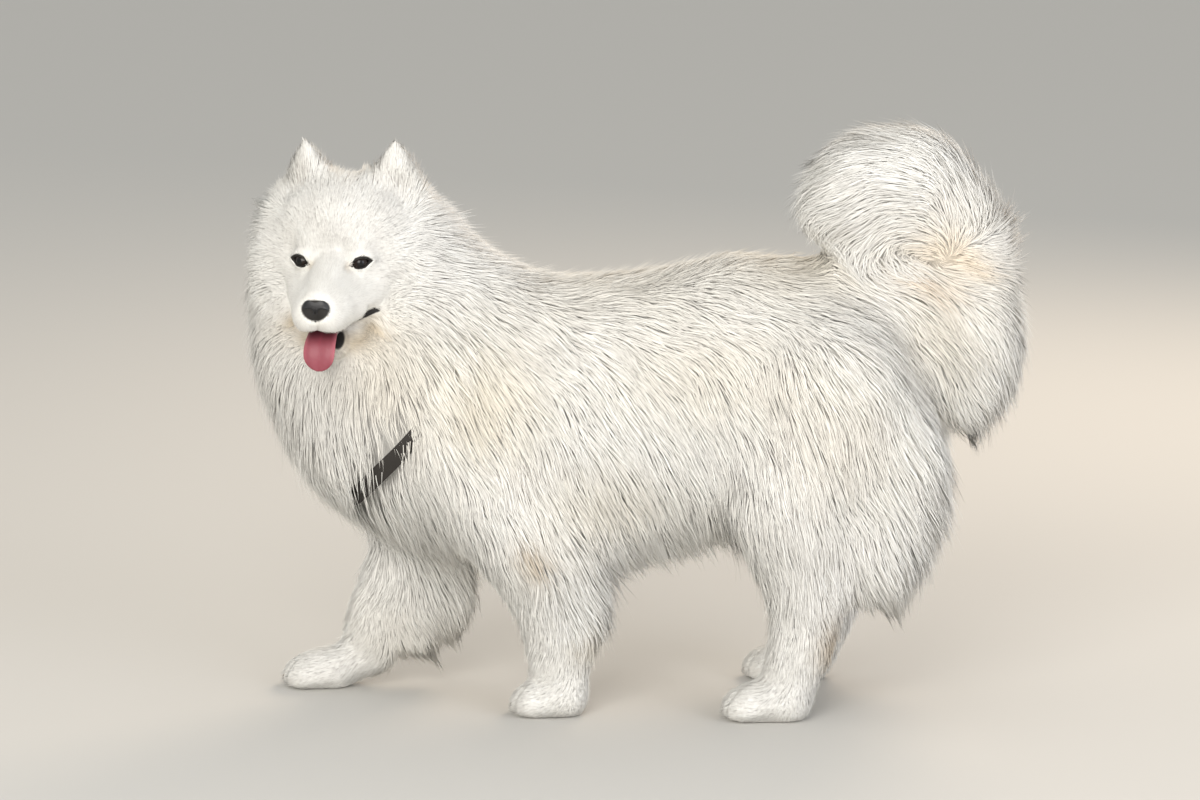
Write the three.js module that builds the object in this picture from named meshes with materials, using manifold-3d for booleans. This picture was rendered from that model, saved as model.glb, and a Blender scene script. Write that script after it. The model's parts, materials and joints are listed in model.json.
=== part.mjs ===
// A life-size Samoyed that stands with its head turned to its left, as a museum model.
// Millimetres, +Z up. The body faces -Y, so +X is the dog's left. The origin is on the
// floor, under the middle of the whole model. Every solid is drawn out to the tips of the coat.
import * as THREE from "three";
import { mergeVertices } from "three/addons/utils/BufferGeometryUtils.js";
import Module from "manifold-3d";

const wasm = await Module();
wasm.setup();

// Driving dimensions of the body, coat included
const BACK_HEIGHT = 574; // lowest place of the topline
const CHEST_RADIUS = 190; // half the depth of the trunk, belly hair included
const TRUNK_NARROWING = 1.28; // a trunk is deeper than it is wide by this much
const LEFT = 1;
const RIGHT = -1;
const GAP = 0.3; // between touching pieces

// Driving dimensions of the head
const HEAD_CENTRE = [45, -333, 645];
const HEAD_YAW = 12; // degrees short of looking straight to the dog's left
const HEAD_PITCH = -8; // degrees, nose down
const EYE_RADIUS = 12.5;
const EYE_PLACE = [66, 37, -24]; // forward, to the side and up from the head's centre
const NOSE_PLACE = [165, 0, -61];
const MOUTH_CORNER = [78, -87]; // forward and up
const LIP_SLOPE = 0.05; // fall of the upper lip towards the nose
const JAW_SLOPE = 0.47; // fall of the lower jaw, which the mouth's opening sets
const CLAW_LENGTH = 15;
const CLAW_RADIUS = 3;

// Driving dimensions of the neck strap
const STRAP_WIDTH = 22;
const STRAP_THICKNESS = 4;
const STRAP_POINT = [0, -226, 404];
const STRAP_LEAN = 41; // degrees that its plane leans back from upright
const STRAP_RISE = 25; // from the point to the middle of the hoop
const STRAP_DEPTH = 10; // how deep it lies in the coat
const STRAP_SIDES = 36;

// The colours that the photograph shows
const COAT = new THREE.MeshStandardMaterial({ color: "#e9e6dc", roughness: 0.9, metalness: 0 });
const NOSE_SKIN = new THREE.MeshStandardMaterial({ color: "#1d1c20", roughness: 0.4, metalness: 0 });
const TONGUE_SKIN = new THREE.MeshStandardMaterial({ color: "#b5626b", roughness: 0.45, metalness: 0 });
const EYE = new THREE.MeshStandardMaterial({ color: "#2a1c14", roughness: 0.1, metalness: 0 });
const CLAW = new THREE.MeshStandardMaterial({ color: "#6d6258", roughness: 0.5, metalness: 0 });
const WEBBING = new THREE.MeshStandardMaterial({ color: "#26241f", roughness: 0.85, metalness: 0 });

// Body forms: a form is a function from a point to its distance outside the surface

// A tapered round bar from a to b. stretch holds a factor for each axis: above 1 is narrower.
function lump(a, b, radiusA, radiusB = radiusA, stretch = [1, 1, 1]) {
  const start = a.map((x, i) => x * stretch[i]);
  const run = b.map((x, i) => x * stretch[i] - start[i]);
  const length2 = Math.max(run[0] ** 2 + run[1] ** 2 + run[2] ** 2, 1e-6);
  return (p) => {
    const d = p.map((x, i) => x * stretch[i] - start[i]);
    const along = (d[0] * run[0] + d[1] * run[1] + d[2] * run[2]) / length2;
    const t = Math.min(1, Math.max(0, along));
    const away = Math.hypot(d[0] - t * run[0], d[1] - t * run[1], d[2] - t * run[2]);
    return away - radiusA - t * (radiusB - radiusA);
  };
}

// Forms that flow into each other over the width of blend
function flow(forms, blend) {
  return (p) => {
    let d = 1e9;
    for (const form of forms) {
      const e = form(p);
      const h = Math.max(blend - Math.abs(d - e), 0) / blend;
      d = Math.min(d, e) - (h * h * blend) / 4;
    }
    return d;
  };
}

const without = (form, hollow) => (p) => Math.max(form(p), -hollow(p));
const both = (left) => [left(LEFT), left(RIGHT)];

// The head's own axes: forward, to the dog's left, and up
const headTurn = new THREE.Matrix4()
  .makeTranslation(...HEAD_CENTRE)
  .multiply(new THREE.Matrix4().makeRotationZ(THREE.MathUtils.degToRad(-HEAD_YAW)))
  .multiply(new THREE.Matrix4().makeRotationY(THREE.MathUtils.degToRad(-HEAD_PITCH)));
const headBack = headTurn.clone().invert();
const scratch = new THREE.Vector3();
const inHead = (form) => (p) => form(scratch.set(...p).applyMatrix4(headBack).toArray());
const fromHead = (place) => new THREE.Vector3(...place).applyMatrix4(headTurn).toArray();

// Trunk, neck and ruff
const trunkShape = [TRUNK_NARROWING, 1, 1];
const chestHeight = BACK_HEIGHT - CHEST_RADIUS;
const trunkForms = [
  lump([0, -215, chestHeight + 14], [0, -20, chestHeight], 176, CHEST_RADIUS, trunkShape),
  lump([0, -20, chestHeight], [0, 190, 424], CHEST_RADIUS, 180, trunkShape),
  lump([0, 190, 424], [0, 275, 430], 182, 168, [1.2, 1, 1]),
];
const neckForms = [
  lump([0, -150, 430], [2, -275, 470], 160, 158, [1.18, 1, 1]),
  lump([0, -185, 495], [6, -296, 600], 118, 103, [1.2, 1, 1]),
  lump([0, -345, 562], [0, -330, 480], 126, 130, [1.3, 1, 1]),
  lump([0, -330, 480], [4, -292, 395], 128, 134, [1.12, 1, 1]),
  lump([0, -285, 360], [0, -190, 320], 105, 110, [0.95, 1, 1]),
];

// Legs: the joints that a leg passes, and its thickness there with the coat
const narrow = [1.18, 1, 1];
const foreJoints = {
  [LEFT]: { side: 84, shoulder: [-225, 385], elbow: [-88, 235], wrist: [-52, 95], ankle: -52, toe: -121 },
  [RIGHT]: { side: 66, shoulder: [-255, 385], elbow: [-238, 225], wrist: [-298, 105], ankle: -318, toe: -433 },
};
const hindJoints = {
  [LEFT]: { side: 108, shift: 0 },
  [RIGHT]: { side: 108, shift: 44 },
};

function foreleg(side) {
  const j = foreJoints[side];
  const x = side * j.side;
  const out = side * (j.side + 14);
  return [
    lump([side * 88, ...j.shoulder], [out, ...j.elbow], 84, 70, [1.1, 1, 1]),
    lump([out, ...j.elbow], [x, ...j.wrist], 68, 41, narrow),
    lump([x, ...j.wrist], [x, j.ankle, 45], 41, 35, narrow),
  ];
}

// The long hair behind each foreleg, which the far leg's stride swings back
const foreFringe = {
  [LEFT]: [
    lump([94, -38, 222], [86, -18, 150], 44, 28, narrow),
  ],
  [RIGHT]: [
    lump([-76, -212, 178], [-72, -196, 116], 46, 32, narrow),
    lump([-72, -246, 108], [-68, -262, 62], 44, 32, narrow),
  ],
};

function hindleg(side) {
  const { side: half, shift } = hindJoints[side];
  const x = side * half;
  const at = (y, z) => [x, y + shift, z];
  return [
    lump([side * 88, 295 + shift / 2, 425], at(250, 290), 118, 88, [1.25, 1, 1]),
    lump(at(250, 290), at(272, 160), 84, 46, narrow),
    lump(at(272, 160), at(262, 90), 43, 37, narrow),
    lump(at(262, 90), at(246, 42), 37, 34, narrow),
    lump([side * 82, 374 + shift / 3, 345], [side * 90, 352 + shift / 2, 225], 88, 68, [1.25, 1, 1]),
  ];
}

// Paws: a flat oval with four toes, cut level by the floor
const TOE_OFFSETS = [-25, -9, 9, 25];
function pawPlace(side, fore) {
  const toe = fore ? foreJoints[side].toe : 159 + hindJoints[side].shift * 0.8;
  const half = fore ? foreJoints[side].side : hindJoints[side].side;
  return { x: side * half, toe, length: fore ? 112 : 128 };
}
function paw(side, fore) {
  const { x, toe, length } = pawPlace(side, fore);
  const heel = toe + length;
  return [
    lump([x, heel - 38, 26], [x, toe + 34, 20], 33, 27, [0.84, 1, 1]),
    ...TOE_OFFSETS.map((dx, i) => {
      const back = i === 0 || i === 3 ? 12 : 0;
      return lump([x + dx * 0.8, toe + 44 + back, 22], [x + dx, toe + 15 + back, 15], 16, 14);
    }),
  ];
}

// Tail: an arc that rises behind the croup and curls forward over the back, with its plume
const TAIL_ARC = [
  [0, 362, 520, 46],
  [2, 436, 538, 52],
  [6, 474, 600, 50],
  [10, 468, 668, 50],
  [14, 414, 716, 60],
  [18, 348, 702, 62],
  [20, 300, 660, 38],
];
const plume = [1.05, 1, 1];
const tailForms = TAIL_ARC.slice(1).map((end, i) => {
  const start = TAIL_ARC[i];
  return lump(start.slice(0, 3), end.slice(0, 3), start[3], end[3], plume);
});
const tailFringe = [
  lump([2, 476, 610], [0, 492, 485], 65, 62, plume),
  lump([0, 492, 485], [0, 482, 408], 60, 32, plume),
  lump([16, 400, 690], [12, 370, 610], 55, 60, plume),
];

// Head
const headForms = [
  lump([-6, 0, 6], [-6, 0, 6], 71, 71, [1, 0.92, 1]),
  lump([24, 0, 12], [24, 0, 12], 45, 45, [1, 0.88, 1]),
  lump([-46, 0, -10], [-46, 0, -10], 77),
  lump([60, 0, -32], [146, 0, -51], 26, 17, [1, 0.85, 1]),
  ...both((s) => lump([0, s * 54, -42], [0, s * 54, -42], 50)),
  ...both((s) => lump([-36, s * 85, -46], [-36, s * 85, -46], 59)),
  ...both((s) => lump([-34, s * 86, 6], [-34, s * 86, 6], 41)),
  lump([-12, -66, -34], [-12, 66, -34], 56),
  ...both((s) => lump([6, s * 44, 8], [6, s * 44, 8], 44)),
  ...both((s) => lump([52, s * 31, -3], [52, s * 31, -3], 17)),
  ...both((s) => lump([38, s * 46, -52], [38, s * 46, -52], 27)),
  ...both((s) => lump([72, s * 21, -61], [143, s * 13, -72], 29, 21)),
];
const jawForms = [
  lump([52, 0, -108], [126, 0, -136], 27, 13, [1, 0.75, 1]),
  lump([0, 0, -90], [0, 0, -90], 55, 55),
];

// The open mouth: a wedge that widens from its corners to the front
const mouthOpen = (p) => {
  const ahead = p[0] - MOUTH_CORNER[0];
  const down = MOUTH_CORNER[1] - p[2];
  return Math.max(LIP_SLOPE * ahead - down, down - 2 - JAW_SLOPE * ahead, -ahead);
};
const face = without(flow([...headForms, ...jawForms], 16), mouthOpen);

// Ears: a tapered flap on each side, hollowed at the front, turned outwards
const EAR_BASE = { [LEFT]: [-22, 64, 46], [RIGHT]: [-22, -50, 46] };
const EAR_TIP = { [LEFT]: [-16, 68, 110], [RIGHT]: [-16, -54, 109] };
const EAR_TURN = 26; // degrees outwards
function earAxes(side) {
  return new THREE.Matrix4()
    .makeTranslation(...EAR_BASE[side])
    .multiply(new THREE.Matrix4().makeRotationZ(THREE.MathUtils.degToRad(side * EAR_TURN)));
}
function ear(side) {
  const back = earAxes(side).invert();
  const tip = new THREE.Vector3(...EAR_TIP[side]).applyMatrix4(back).toArray();
  const flap = lump([0, 0, 0], tip, 43, 12, [1.8, 1, 1]);
  const cup = lump([24, 0, -4], [tip[0] + 13, tip[1], tip[2] - 20], 22, 4, [1.3, 1, 1]);
  const hollowed = without(flap, cup);
  return (p) => hollowed(scratch.set(...p).applyMatrix4(back).toArray());
}
const ears = both(ear);
const head = inHead((p) => Math.min(face(p), ears[0](p), ears[1](p)));

// The whole coat surface
const bodyFlesh = flow(
  [
    ...trunkForms,
    ...neckForms,
    ...both(foreleg).flat(),
    ...foreFringe[LEFT],
    ...foreFringe[RIGHT],
    ...both(hindleg).flat(),
    ...tailForms,
    ...tailFringe,
  ],
  30,
);
const pawForms = [LEFT, RIGHT].flatMap((s) => [flow(paw(s, true), 9), flow(paw(s, false), 9)]);
const limbs = flow([bodyFlesh, ...pawForms], 12);
const coat = flow([limbs, head], 14);

const clamp = THREE.MathUtils.clamp;

// Surfaces: a net of quads is laid through the cells where a form changes sign

function netSurface(form, low, high, cell, level = 0) {
  const count = low.map((x, i) => Math.ceil((high[i] - x) / cell) + 1);
  const at = (i, j, k) => i + count[0] * (j + count[1] * k);
  const place = (i, j, k) => [low[0] + i * cell, low[1] + j * cell, low[2] + k * cell];
  const inBox = (p) => Math.max(...p.map((x, i) => Math.max(low[i] + cell * 1.1 - x, x - high[i] + cell * 1.1)));
  const closed = (p) => Math.max(form(p) - level, inBox(p));
  const value = new Float32Array(count[0] * count[1] * count[2]);
  for (let k = 0; k < count[2]; k++)
    for (let j = 0; j < count[1]; j++)
      for (let i = 0; i < count[0]; i++) value[at(i, j, k)] = closed(place(i, j, k)) || 1e-6;

  const corners = [0, 1, 2, 3, 4, 5, 6, 7].map((c) => [c & 1, (c >> 1) & 1, c >> 2]);
  const edges = [];
  for (let a = 0; a < 8; a++)
    for (const bit of [1, 2, 4]) if (!(a & bit)) edges.push([a, a | bit]);
  const vertexOf = new Map();
  const points = [];
  for (let k = 0; k < count[2] - 1; k++)
    for (let j = 0; j < count[1] - 1; j++)
      for (let i = 0; i < count[0] - 1; i++) {
        const v = corners.map(([a, b, c]) => value[at(i + a, j + b, k + c)]);
        if (v.every((x) => x > 0) || v.every((x) => x <= 0)) continue;
        const sum = [0, 0, 0];
        let n = 0;
        for (const [a, b] of edges) {
          if (v[a] > 0 === v[b] > 0) continue;
          const t = v[a] / (v[a] - v[b]);
          for (let axis = 0; axis < 3; axis++)
            sum[axis] += corners[a][axis] * (1 - t) + corners[b][axis] * t;
          n++;
        }
        vertexOf.set(at(i, j, k), points.length);
        const start = place(i, j, k);
        const near = onto(closed, sum.map((x, axis) => start[axis] + (x / n) * cell), cell);
        points.push(near.map((x, axis) => clamp(x, start[axis] + 0.04 * cell, start[axis] + 0.96 * cell)));
      }

  const faces = [];
  const quad = (a, b, c, d, flip) => {
    const [p, q, r, s] = [a, b, c, d].map((x) => vertexOf.get(x));
    if (flip) faces.push(p, r, q, p, s, r);
    else faces.push(p, q, r, p, r, s);
  };
  for (let k = 1; k < count[2] - 1; k++)
    for (let j = 1; j < count[1] - 1; j++)
      for (let i = 1; i < count[0] - 1; i++) {
        const here = value[at(i, j, k)] > 0;
        if (value[at(i + 1, j, k)] > 0 !== here)
          quad(at(i, j - 1, k - 1), at(i, j, k - 1), at(i, j, k), at(i, j - 1, k), here);
        if (value[at(i, j + 1, k)] > 0 !== here)
          quad(at(i - 1, j, k - 1), at(i - 1, j, k), at(i, j, k), at(i, j, k - 1), here);
        if (value[at(i, j, k + 1)] > 0 !== here)
          quad(at(i - 1, j - 1, k), at(i, j - 1, k), at(i, j, k), at(i - 1, j, k), here);
      }
  return fromFaces(points.flat(), faces);
}

// Moves a point onto the surface where form is 0, by at most a third of a cell
function onto(form, p, cell) {
  const step = 0.5;
  const d = form(p);
  const slope = p.map((_, axis) => {
    const q = [...p];
    q[axis] += step;
    return (form(q) - d) / step;
  });
  const steep = slope[0] ** 2 + slope[1] ** 2 + slope[2] ** 2;
  const move = clamp(d, -cell / 3, cell / 3) / Math.max(steep, 0.3);
  return p.map((x, axis) => x - slope[axis] * move);
}

// Solids and cuts

function fromFaces(numbers, corners) {
  return new wasm.Manifold(
    new wasm.Mesh({
      numProp: 3,
      vertProperties: new Float32Array(numbers),
      triVerts: new Uint32Array(corners),
    }),
  );
}

// A three.js geometry, placed by a matrix, as a solid that booleans can cut
function solid(geometry, matrix = new THREE.Matrix4()) {
  const bare = geometry.clone();
  bare.deleteAttribute("normal");
  bare.deleteAttribute("uv");
  bare.applyMatrix4(matrix);
  const merged = mergeVertices(bare, 1e-3);
  return fromFaces(merged.attributes.position.array, merged.index.array);
}

// A box between two corners in the axes of matrix, grown by the given amount
function block(low, high, grow, matrix = new THREE.Matrix4()) {
  const size = high.map((x, i) => x - low[i] + 2 * grow);
  const middle = high.map((x, i) => (x + low[i]) / 2);
  const placed = matrix.clone().multiply(new THREE.Matrix4().makeTranslation(...middle));
  return solid(new THREE.BoxGeometry(...size), placed);
}

// A convex outline with its sides moved out by grow
function grown(outline, grow) {
  const n = outline.length;
  const side = (i) => {
    const a = outline[i % n];
    const b = outline[(i + 1) % n];
    const l = Math.hypot(b[0] - a[0], b[1] - a[1]);
    return [(b[1] - a[1]) / l, (a[0] - b[0]) / l];
  };
  return outline.map(([x, y], i) => {
    const [p, q] = [side(i + n - 1), side(i)];
    const k = grow / (1 + p[0] * q[0] + p[1] * q[1]);
    return new THREE.Vector2(x + k * (p[0] + q[0]), y + k * (p[1] + q[1]));
  });
}

// Two directions to draw an outline in: from the side (Y, Z), and from the front (X, Z)
const fromSide = new THREE.Matrix4().set(0, 0, 1, 0, 1, 0, 0, 0, 0, 1, 0, 0, 0, 0, 0, 1);
const fromFront = new THREE.Matrix4().set(1, 0, 0, 0, 0, 0, -1, 0, 0, 1, 0, 0, 0, 0, 0, 1);
function prism(outline, view, grow, reach = [-600, 700]) {
  const shape = new THREE.Shape(grown(outline, grow));
  const depth = reach[1] - reach[0];
  const raised = view.clone().multiply(new THREE.Matrix4().makeTranslation(0, 0, reach[0]));
  return solid(new THREE.ExtrudeGeometry(shape, { depth, bevelEnabled: false }), raised);
}

// The points and triangles of a solid
function facesOf(piece) {
  const found = piece.getMesh();
  const points = [];
  for (let i = 0; i < found.numVert; i++) {
    const start = i * found.numProp;
    points.push(new THREE.Vector3(...found.vertProperties.subarray(start, start + 3)));
  }
  const faces = [];
  for (let i = 0; i < found.triVerts.length; i += 3) faces.push([...found.triVerts.subarray(i, i + 3)]);
  return { points, faces };
}

// Closes up short edges wherever a solid keeps its shape. Its cut faces stay flat.
function thinned(piece, cell) {
  const { points, faces } = facesOf(piece);
  const fans = points.map(() => new Set());
  faces.forEach((f, i) => f.forEach((v) => fans[v].add(i)));
  const triangle = (f) => new THREE.Triangle(...f.map((v) => points[v]));
  const normal = (f) => triangle(f).getNormal(new THREE.Vector3());
  const ring = (v) => new Set([...fans[v]].flatMap((i) => faces[i]).filter((w) => w !== v));

  const planeOf = (f) => {
    const n = normal(f);
    const numbers = [n.x * 500, n.y * 500, n.z * 500, n.dot(points[f[0]]) * 4];
    return numbers.map(Math.round).join();
  };
  const inPlane = new Map();
  for (const f of faces) inPlane.set(planeOf(f), (inPlane.get(planeOf(f)) ?? 0) + 1);
  const flat = faces.map((f) => inPlane.get(planeOf(f)) > 2);

  function close(v, u) {
    const shared = [...ring(v)].filter((w) => ring(u).has(w));
    const gone = [...fans[v]].filter((i) => faces[i].includes(u));
    if (shared.length !== 2 || gone.length !== 2) return false;
    const kept = [...fans[v]].filter((i) => !gone.includes(i));
    const change = (f) => f.map((w) => (w === v ? u : w));
    const fits = kept.every((i) => {
      const moved = triangle(change(faces[i]));
      const turn = moved.getNormal(new THREE.Vector3()).dot(normal(faces[i]));
      return moved.getArea() > 0.5 && turn > (flat[i] ? 0.9999995 : 0.96);
    });
    if (!fits) return false;
    for (const i of gone) {
      for (const w of faces[i]) fans[w].delete(i);
      faces[i] = null;
    }
    for (const i of kept) {
      faces[i] = change(faces[i]);
      fans[u].add(i);
    }
    fans[v].clear();
    return true;
  }

  for (let round = 0; round < 6; round++)
    points.forEach((place, v) => {
      if (!fans[v].size) return;
      const away = (u) => points[u].distanceTo(place);
      const near = [...ring(v)].sort((a, b) => away(a) - away(b));
      const inside = [...fans[v]].every((i) => flat[i]);
      near.find((u) => (inside || away(u) < 0.62 * cell) && close(v, u));
    });
  return fromFaces(points.flatMap((p) => p.toArray()), faces.filter((f) => f).flat());
}

// A solid with every point moved out by grow, to make room for the solid itself
function swollen(piece, grow) {
  const { points, faces } = facesOf(piece);
  const geometry = new THREE.BufferGeometry().setFromPoints(points).setIndex(faces.flat());
  geometry.computeVertexNormals();
  const out = geometry.attributes.normal;
  const moved = points.map((q, i) => q.clone().addScaledVector(new THREE.Vector3().fromBufferAttribute(out, i), grow));
  return fromFaces(moved.flatMap((q) => q.toArray()), faces.flat());
}

const group = new THREE.Group();
function addMesh(name, piece, material) {
  const { points, faces } = facesOf(piece);
  const geometry = new THREE.BufferGeometry().setFromPoints(points).setIndex(faces.flat());
  geometry.computeVertexNormals();
  const mesh = new THREE.Mesh(geometry, material);
  mesh.name = name;
  group.add(mesh);
}

// The largest body of a cut, as slivers can be left at its rim
function mainBody(piece, cell) {
  const largest = piece.decompose().reduce((a, b) => (b.volume() > a.volume() ? b : a));
  return thinned(largest, cell);
}

const floorCut = (grow) => block([-500, -700, -300], [500, 700, 0], grow);

// Where each part of the body ends. A region takes how far it grows past its own sides.
const strapAxes = new THREE.Matrix4()
  .makeTranslation(...STRAP_POINT)
  .multiply(new THREE.Matrix4().makeRotationX(THREE.MathUtils.degToRad(-STRAP_LEAN)));
const half = STRAP_WIDTH / 2;
const neckRegion = (grow) => block([-400, -600, -420], [400, -half, 600], grow, strapAxes);
const strapRegion = (grow) => block([-400, -half, -420], [400, half, 600], grow, strapAxes);
const headRegion = (grow) => block([-28, -128, -128], [260, 128, 240], grow, headTurn);
const jawAxes = headTurn
  .clone()
  .multiply(new THREE.Matrix4().makeTranslation(MOUTH_CORNER[0], 0, MOUTH_CORNER[1]))
  .multiply(new THREE.Matrix4().makeRotationY(Math.atan(JAW_SLOPE)));
const jawRegion = (grow) => block([-12, -46, -80], [150, 46, 1], grow, jawAxes);
const earRegion = (side) => (grow) => {
  const lean = earAxes(side).multiply(new THREE.Matrix4().makeRotationX(-side * 0.4));
  return block([-60, -50, 4], [60, 50, 140], grow, headTurn.clone().multiply(lean));
};

// Seen from the side, in front of and below the tail
const TRUNK_OUTLINE = [
  [-480, 100],
  [440, 100],
  [452, 400],
  [402, 520],
  [330, 606],
  [236, 630],
  [180, 645],
  [-480, 1100],
];
const TAIL_HALF_WIDTH = 84;
const tailRegion = (grow) =>
  block([-TAIL_HALF_WIDTH + 6, 170, 375], [TAIL_HALF_WIDTH + 6, 700, 900], grow).subtract(
    prism(TRUNK_OUTLINE, fromSide, -grow),
  );

// A leg's outlines from the side; from the front all slant up along the ribs or the loin
const legRegion = (side, fromTheSide, inner, outer) => (grow) => {
  const across = [
    [3, -60],
    [340, -60],
    [340, outer[1]],
    outer,
    inner,
  ];
  const outline = side > 0 ? across : across.map(([x, z]) => [-x, z]).reverse();
  return prism(fromTheSide, fromSide, grow)
    .intersect(prism(outline, fromFront, grow, [-700, 700]))
    .subtract(neckRegion(-grow));
};
const FORE_INNER = [16, 196];
const FORE_OUTER = [165, 420];
const HIND_INNER = [16, 190];
const HIND_OUTER = [150, 470];
const LEFT_FORE = [[-150, -60], [50, -60], [62, 210], [-5, 350], [-150, 440], [-262, 400], [-226, 215]];
const RIGHT_FORE = [[-460, -60], [-140, -60], [-130, 230], [-175, 380], [-300, 430], [-370, 300], [-460, 60]];
const LEFT_HIND = [[120, -60], [345, -60], [480, 190], [480, 330], [420, 440], [270, 480], [160, 390], [120, 200]];
const legs = {
  foreleg_left: { side: LEFT, fore: true, region: legRegion(LEFT, LEFT_FORE, FORE_INNER, FORE_OUTER) },
  foreleg_right: { side: RIGHT, fore: true, region: legRegion(RIGHT, RIGHT_FORE, FORE_INNER, FORE_OUTER) },
  hindleg_left: { side: LEFT, fore: false, region: legRegion(LEFT, LEFT_HIND, HIND_INNER, HIND_OUTER) },
  hindleg_right: {
    side: RIGHT,
    fore: false,
    region: legRegion(RIGHT, LEFT_HIND.map(([y, z]) => [y + 20, z]), HIND_INNER, HIND_OUTER),
  },
};
const PAW_TOP = 52;

// Sizes of the nets: coarse on the trunk, fine on the head and the feet
const CELL = { trunk: 42, neck: 30, leg: 24, paw: 13.5, tail: 27, head: 14, ear: 10.5, nose: 8 };

function fleshIn(low, high, cell, level = 0) {
  return netSurface(coat, low, high, cell, level);
}

// Nose, eyes and tongue are solids of their own, and the head is hollowed for them
const noseForm = inHead(
  flow(
    [
      lump([NOSE_PLACE[0] - 12, 0, NOSE_PLACE[2] + 3], [NOSE_PLACE[0] - 6, 0, NOSE_PLACE[2]], 17, 15, [1, 0.86, 1]),
      ...both((s) => lump([NOSE_PLACE[0] - 14, s * 9, NOSE_PLACE[2] + 1], [NOSE_PLACE[0] - 4, s * 8, NOSE_PLACE[2]], 12, 9)),
    ],
    7,
  ),
);
const around = (place, reach) => [place.map((x, i) => x - reach[i]), place.map((x, i) => x + reach[i])];
const noseBox = around(fromHead(NOSE_PLACE), [45, 45, 45]);
const nose = netSurface(noseForm, ...noseBox, CELL.nose);

// The tongue: forward, up, half its width and half its thickness at each ring along it
const TONGUE_RINGS = [
  [92, -90, 13, 4],
  [114, -98, 18, 4.5],
  [131, -105, 20.5, 5],
  [143, -113, 21.5, 5],
  [149.5, -123, 22, 4.5],
  [152, -132, 20.5, 4],
  [152.5, -139, 16, 3.5],
  [152.5, -143.5, 10.5, 3],
  [152.5, -146, 4, 2],
];
const TONGUE_SHIFT = -2; // towards the dog's right
const TONGUE_SIDES = 12;
function tongueSolid() {
  const numbers = [];
  TONGUE_RINGS.forEach(([forward, up, halfWidth, halfThick], i) => {
    const before = TONGUE_RINGS[Math.max(i - 1, 0)];
    const after = TONGUE_RINGS[Math.min(i + 1, TONGUE_RINGS.length - 1)];
    const along = Math.atan2(after[1] - before[1], after[0] - before[0]);
    for (let k = 0; k < TONGUE_SIDES; k++) {
      const angle = (k / TONGUE_SIDES) * 2 * Math.PI;
      const furrow = k === TONGUE_SIDES / 4 ? 0.45 : 1;
      const rise = halfThick * Math.sin(angle) * furrow;
      const across = halfWidth * Math.cos(angle) + TONGUE_SHIFT;
      numbers.push(...fromHead([forward - rise * Math.sin(along), across, up + rise * Math.cos(along)]));
    }
  });
  const corner = (ring, k) => ring * TONGUE_SIDES + (k % TONGUE_SIDES);
  const last = TONGUE_RINGS.length - 1;
  const faces = [];
  for (let k = 0; k < TONGUE_SIDES; k++) {
    for (let r = 0; r < last; r++) {
      faces.push(corner(r, k), corner(r, k + 1), corner(r + 1, k));
      faces.push(corner(r, k + 1), corner(r + 1, k + 1), corner(r + 1, k));
    }
    if (k > 0 && k < TONGUE_SIDES - 1) {
      faces.push(corner(0, 0), corner(0, k + 1), corner(0, k));
      faces.push(corner(last, 0), corner(last, k), corner(last, k + 1));
    }
  }
  return fromFaces(numbers, faces);
}
const tongue = tongueSolid();
const eye = (side, grow) => {
  const [forward, out, up] = EYE_PLACE;
  const placed = headTurn
    .clone()
    .multiply(new THREE.Matrix4().makeTranslation(forward, side * out - 2, up))
    .multiply(new THREE.Matrix4().makeRotationZ(-Math.PI / 2));
  return solid(new THREE.SphereGeometry(EYE_RADIUS + grow, 12, 9), placed);
};

// A claw points forward and down from its toe and stays clear of the floor
const claw = (x, y, grow) => {
  const placed = new THREE.Matrix4()
    .makeTranslation(x, y, 12)
    .multiply(new THREE.Matrix4().makeRotationX(Math.PI + 1.12));
  return solid(new THREE.ConeGeometry(CLAW_RADIUS + grow, CLAW_LENGTH + 3 * grow, 6), placed);
};

const headBox = around(HEAD_CENTRE, [210, 190, 210]);
const headAll = fleshIn(...headBox, CELL.head)
  .intersect(headRegion(-GAP / 2))
  .subtract(earRegion(LEFT)(GAP / 2))
  .subtract(earRegion(RIGHT)(GAP / 2));
const upperHead = mainBody(headAll.subtract(jawRegion(GAP / 2)), CELL.head);
const lowerJaw = mainBody(headAll.intersect(jawRegion(-GAP / 2)), CELL.head);
const room = [swollen(nose, GAP), swollen(tongue, 2 * GAP), eye(LEFT, GAP), eye(RIGHT, GAP)];
const hollowed = room.reduce((piece, cut) => piece.subtract(cut), upperHead);
addMesh("head", hollowed, COAT);
addMesh("lower_jaw", lowerJaw.subtract(swollen(tongue, 2 * GAP)), COAT);
addMesh("nose", nose, NOSE_SKIN);
addMesh("tongue", tongue, TONGUE_SKIN);
addMesh("eye_left", eye(LEFT, 0), EYE);
addMesh("eye_right", eye(RIGHT, 0), EYE);
for (const [name, side] of [["ear_left", LEFT], ["ear_right", RIGHT]]) {
  const box = around(fromHead([-5, side * 60, 95]), [70, 70, 75]);
  const flap = fleshIn(...box, CELL.ear).intersect(earRegion(side)(-GAP / 2));
  addMesh(name, mainBody(flap, CELL.ear), COAT);
}

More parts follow.
